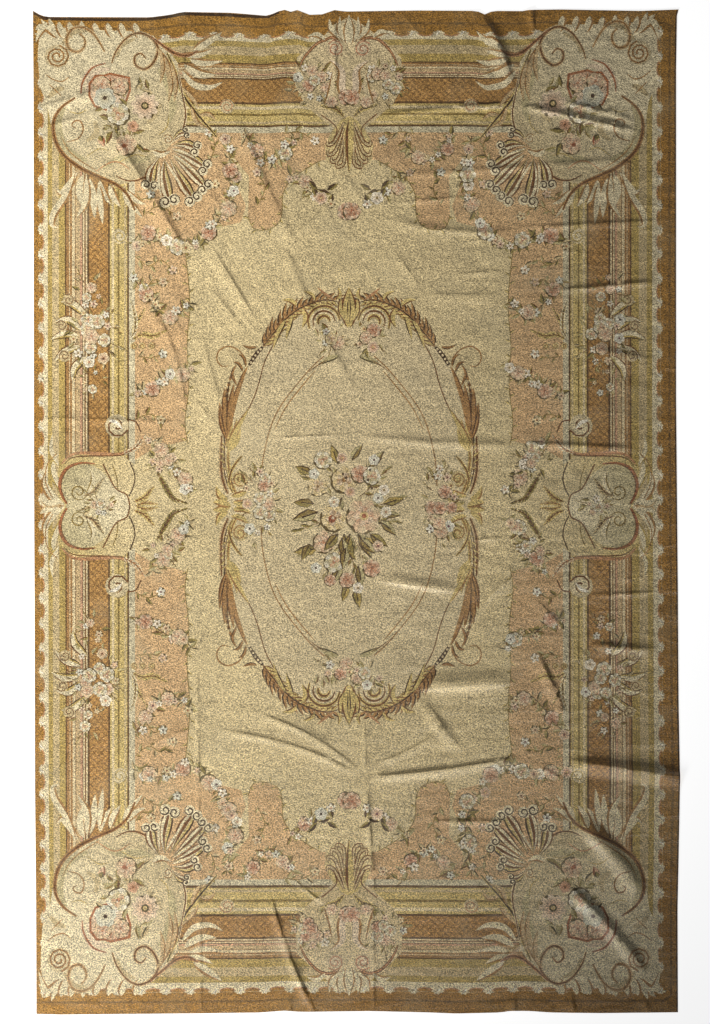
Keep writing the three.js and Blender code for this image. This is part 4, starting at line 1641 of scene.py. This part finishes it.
class Nodes:
    """Adds shader nodes to a material and joins them."""

    def __init__(self, name):
        self.material = bpy.data.materials.new(name)
        self.material.use_nodes = True
        self.tree = self.material.node_tree
        self.tree.nodes.clear()

    def add(self, kind, inputs=None, **settings):
        node = self.tree.nodes.new(kind)
        for name, value in settings.items():
            setattr(node, name, value)
        for name, value in (inputs or {}).items():
            if isinstance(value, bpy.types.NodeSocket):
                self.tree.links.new(value, node.inputs[name])
            else:
                node.inputs[name].default_value = value
        return node

    def math(self, operation, *values):
        node = self.add("ShaderNodeMath", dict(enumerate(values)), operation=operation)
        return node.outputs[0]

    def attribute(self, name):
        return self.add("ShaderNodeAttribute", attribute_name=name)

    def noise(self, place, scale, detail=2.0, stretch=(1, 1, 1)):
        mapped = self.add("ShaderNodeMapping", {"Vector": place, "Scale": stretch})
        inputs = {"Vector": mapped.outputs[0], "Scale": scale, "Detail": detail}
        return self.add("ShaderNodeTexNoise", inputs).outputs["Fac"]

    def crinkles(self, place, stretch, turn):
        """Thin raised lines that wander along one way."""
        turned = self.add("ShaderNodeMapping", {"Vector": place, "Rotation": (0, 0, turn)})
        rise = self.noise(turned.outputs[0], CRINKLE_SCALE, 2.0, stretch)
        return self.math("SUBTRACT", 1.0, self.math("PINGPONG", self.math("MULTIPLY", rise, 4.0), 1.0))

    def spread(self, value, low, high, to_low=0.0, to_high=1.0):
        inputs = {"Value": value, "From Min": low, "From Max": high, "To Min": to_low, "To Max":
                  to_high}
        return self.add("ShaderNodeMapRange", inputs).outputs["Result"]

    def ramp(self, share, stripes):
        """Bands of flat colour from rows of level and yarn."""
        node = self.add("ShaderNodeValToRGB", {"Fac": share})
        node.color_ramp.interpolation = "CONSTANT"
        stops = node.color_ramp.elements
        stops.remove(stops[1])
        stops[0].color = (*yarn(stripes[0][1]), 1)
        for level, name in stripes[1:]:
            stops.new((level + 1.0) / LEVELS).color = (*yarn(name), 1)
        return node.outputs["Color"]

    def mix(self, factor, first, second):
        inputs = {0: factor, 6: first, 7: second}
        return self.add("ShaderNodeMix", inputs, data_type="RGBA").outputs[2]

    def bump(self, height, distance, strength=1.0, normal=None):
        inputs = {"Height": height, "Distance": distance, "Strength": strength}
        if normal:
            inputs["Normal"] = normal
        return self.add("ShaderNodeBump", inputs).outputs["Normal"]

    def finish(self, inputs):
        shader = self.add("ShaderNodeBsdfPrincipled", inputs)
        self.add("ShaderNodeOutputMaterial", {"Surface": shader.outputs[0]})
        return self.material


def lattice_lines(nodes, x, y):
    """Thin crossing diagonals with a small ring at each crossing."""
    distances = []
    for slant in (nodes.math("ADD", x, y), nodes.math("SUBTRACT", x, y)):
        turned = nodes.math("DIVIDE", slant, LATTICE_PITCH)
        distances.append(nodes.math("PINGPONG", turned, 0.5))
    lines = nodes.math("LESS_THAN", nodes.math("MINIMUM", *distances), LATTICE_LINE)
    squares = [nodes.math("MULTIPLY", distance, distance) for distance in distances]
    out = nodes.math("SQRT", nodes.math("ADD", *squares))
    ring = nodes.math("COMPARE", out, LATTICE_RING, LATTICE_RING_LINE)
    return nodes.math("MAXIMUM", lines, ring)


def wool_material():
    nodes = Nodes("wool tapestry")
    place = nodes.add("ShaderNodeTexCoord").outputs["Object"]
    split = nodes.add("ShaderNodeSeparateXYZ", {0: place})
    x, y = split.outputs["X"], split.outputs["Y"]
    back = nodes.attribute("back").outputs["Fac"]
    level = nodes.attribute("level").outputs["Fac"]
    stripes = nodes.ramp(nodes.spread(level, -1.0, LEVELS - 1.0), STRIPES)
    in_lattice = nodes.math("COMPARE", level, 1.5, 0.46)
    lines = nodes.math("MULTIPLY", in_lattice, lattice_lines(nodes, x, y))
    lines = nodes.math("MULTIPLY", lines, LATTICE_STRENGTH)
    stripes = nodes.mix(lines, stripes, (*yarn("brown"), 1))
    banded = nodes.math("GREATER_THAN", level, (OFF_LEVEL - 1.0) / 2)
    colour = nodes.mix(banded, nodes.attribute("yarn").outputs["Color"], stripes)
    # Dye lots in bands, then patches of fading, then single threads and specks
    lots = nodes.spread(nodes.noise(place, DYE_LOT_SCALE, 3.0, (0.25, 1, 1)), 0.3, 0.7, 0.93, 1.06)
    patches = nodes.spread(nodes.noise(place, FADING_SCALE, 4.0), 0.3, 0.7, 0.92, 1.07)
    threads = nodes.spread(nodes.noise(place, THREAD_SCALE, 1.0, LENGTHWISE), 0.32, 0.68, 0.32, 1.72)
    specks = nodes.spread(nodes.noise(place, SPECK_SCALE, 1.0), 0.3, 0.7, 0.84, 1.18)
    fading = nodes.math("MULTIPLY", lots, patches)
    tone = nodes.math("MULTIPLY", fading, nodes.math("MULTIPLY", threads, specks))
    toned = nodes.add("ShaderNodeVectorMath", {0: colour, "Scale": tone}, operation="SCALE").outputs[0]
    # Worn places show the pale warp; the back is duller
    worn = nodes.spread(nodes.noise(place, WEAR_SCALE, 6.0), 0.5, 0.75, 0.0, MOST_WEAR)
    toned = nodes.mix(worn, toned, (*yarn("grey"), 1))
    dulled = nodes.math("MULTIPLY", back, BACK_DULLNESS)
    toned = nodes.mix(dulled, toned, (*yarn("olive_pale"), 1))
    return nodes.finish({
        "Base Color": toned, "Roughness": nodes.spread(specks, 0.8, 1.15, 0.5, 0.37),
        "Normal": wool_relief(nodes, place, x, y), "Specular IOR Level": 1.0,
        "Sheen Weight": 0.05, "Sheen Roughness": 0.6, "Coat Weight": 0.8, "Coat Roughness": 0.31,
    })


def wool_relief(nodes, place, x, y):
    """Ribs, grain, ripples, and crinkles across the rug on its right and slanting on its upper left."""
    ribs = nodes.math("SINE", nodes.math("MULTIPLY", x, 2 * math.pi / RIB_PITCH))
    normal = nodes.bump(ribs, RIB_DEPTH)
    normal = nodes.bump(nodes.noise(place, GRAIN_SCALE, 1.0, LENGTHWISE), GRAIN_DEPTH, 1.0, normal)
    normal = nodes.bump(nodes.noise(place, RIPPLE_SCALE, 2.0), RIPPLE_DEPTH, 0.8, normal)
    across = nodes.spread(x, -0.5, 0.9, 0.2, 1)
    slant = nodes.math("ADD", nodes.math("MULTIPLY", x, -0.5), nodes.math("MULTIPLY", y, 0.5))
    for strength, turn in ((across, 0.0), (nodes.spread(slant, 0.1, 0.9), 1.0)):
        crinkles = nodes.crinkles(place, CRINKLE_STRETCH, turn)
        normal = nodes.bump(crinkles, CRINKLE_DEPTH, strength, normal)
    return normal


def floor_material():
    nodes = Nodes("pale floor")
    return nodes.finish({
        "Base Color": (*FLOOR_COLOUR, 1), "Roughness": 0.9,
        "Emission Color": (1, 1, 1, 1), "Emission Strength": FLOOR_GLOW,
    })


# The room


def area_light(name, place, aim, size, watts, spread):
    lamp = bpy.data.lights.new(name, "AREA")
    lamp.size = size
    lamp.energy = watts
    lamp.spread = math.radians(spread)
    lamp.color = DAYLIGHT
    light = bpy.data.objects.new(name, lamp)
    light.location = place
    light.rotation_euler = (Vector(aim) - Vector(place)).to_track_quat("-Z", "Y").to_euler()
    bpy.context.scene.collection.objects.link(light)
    return light


def build_room():
    mesh = bpy.data.meshes.new("floor")
    corners = [(x * FLOOR_HALF, y * FLOOR_HALF, 0) for x, y in ((-1, -1), (1, -1), (1, 1), (-1, 1))]
    mesh.from_pydata(corners, [], [(0, 1, 2, 3)])
    floor = bpy.data.objects.new("floor", mesh)
    floor.location.z = -FLOOR_DROP
    bpy.context.scene.collection.objects.link(floor)
    mesh.materials.append(floor_material())
    key = area_light("key", **KEY)
    fill = area_light("fill", **FILL)
    fill.visible_glossy = False  # bounced light, too soft to shine in the wool
    world = bpy.data.worlds.new("room")
    world.use_nodes = True
    sky = world.node_tree.nodes["Background"].inputs
    sky["Color"].default_value = (1, 1, 1, 1)
    sky["Strength"].default_value = SKY_STRENGTH
    bpy.context.scene.world = world


def build_camera():
    camera = bpy.data.cameras.new("camera")
    camera.sensor_width = SENSOR_WIDTH
    camera.lens = SENSOR_WIDTH * CAMERA_HEIGHT / VIEW_LENGTH
    camera.clip_end = 100
    eye = bpy.data.objects.new("camera", camera)
    eye.location = (VIEW_MIDDLE_X, 0, CAMERA_HEIGHT)
    bpy.context.scene.collection.objects.link(eye)
    bpy.context.scene.camera = eye


def build_rug():
    rug = build_sheet(draw_pattern())
    rug.data.materials.append(wool_material())
    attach(rug, "root")
    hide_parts(NODE)
    return rug


build_rug()
build_room()
build_camera()
bpy.context.scene.view_settings.view_transform = "Standard"
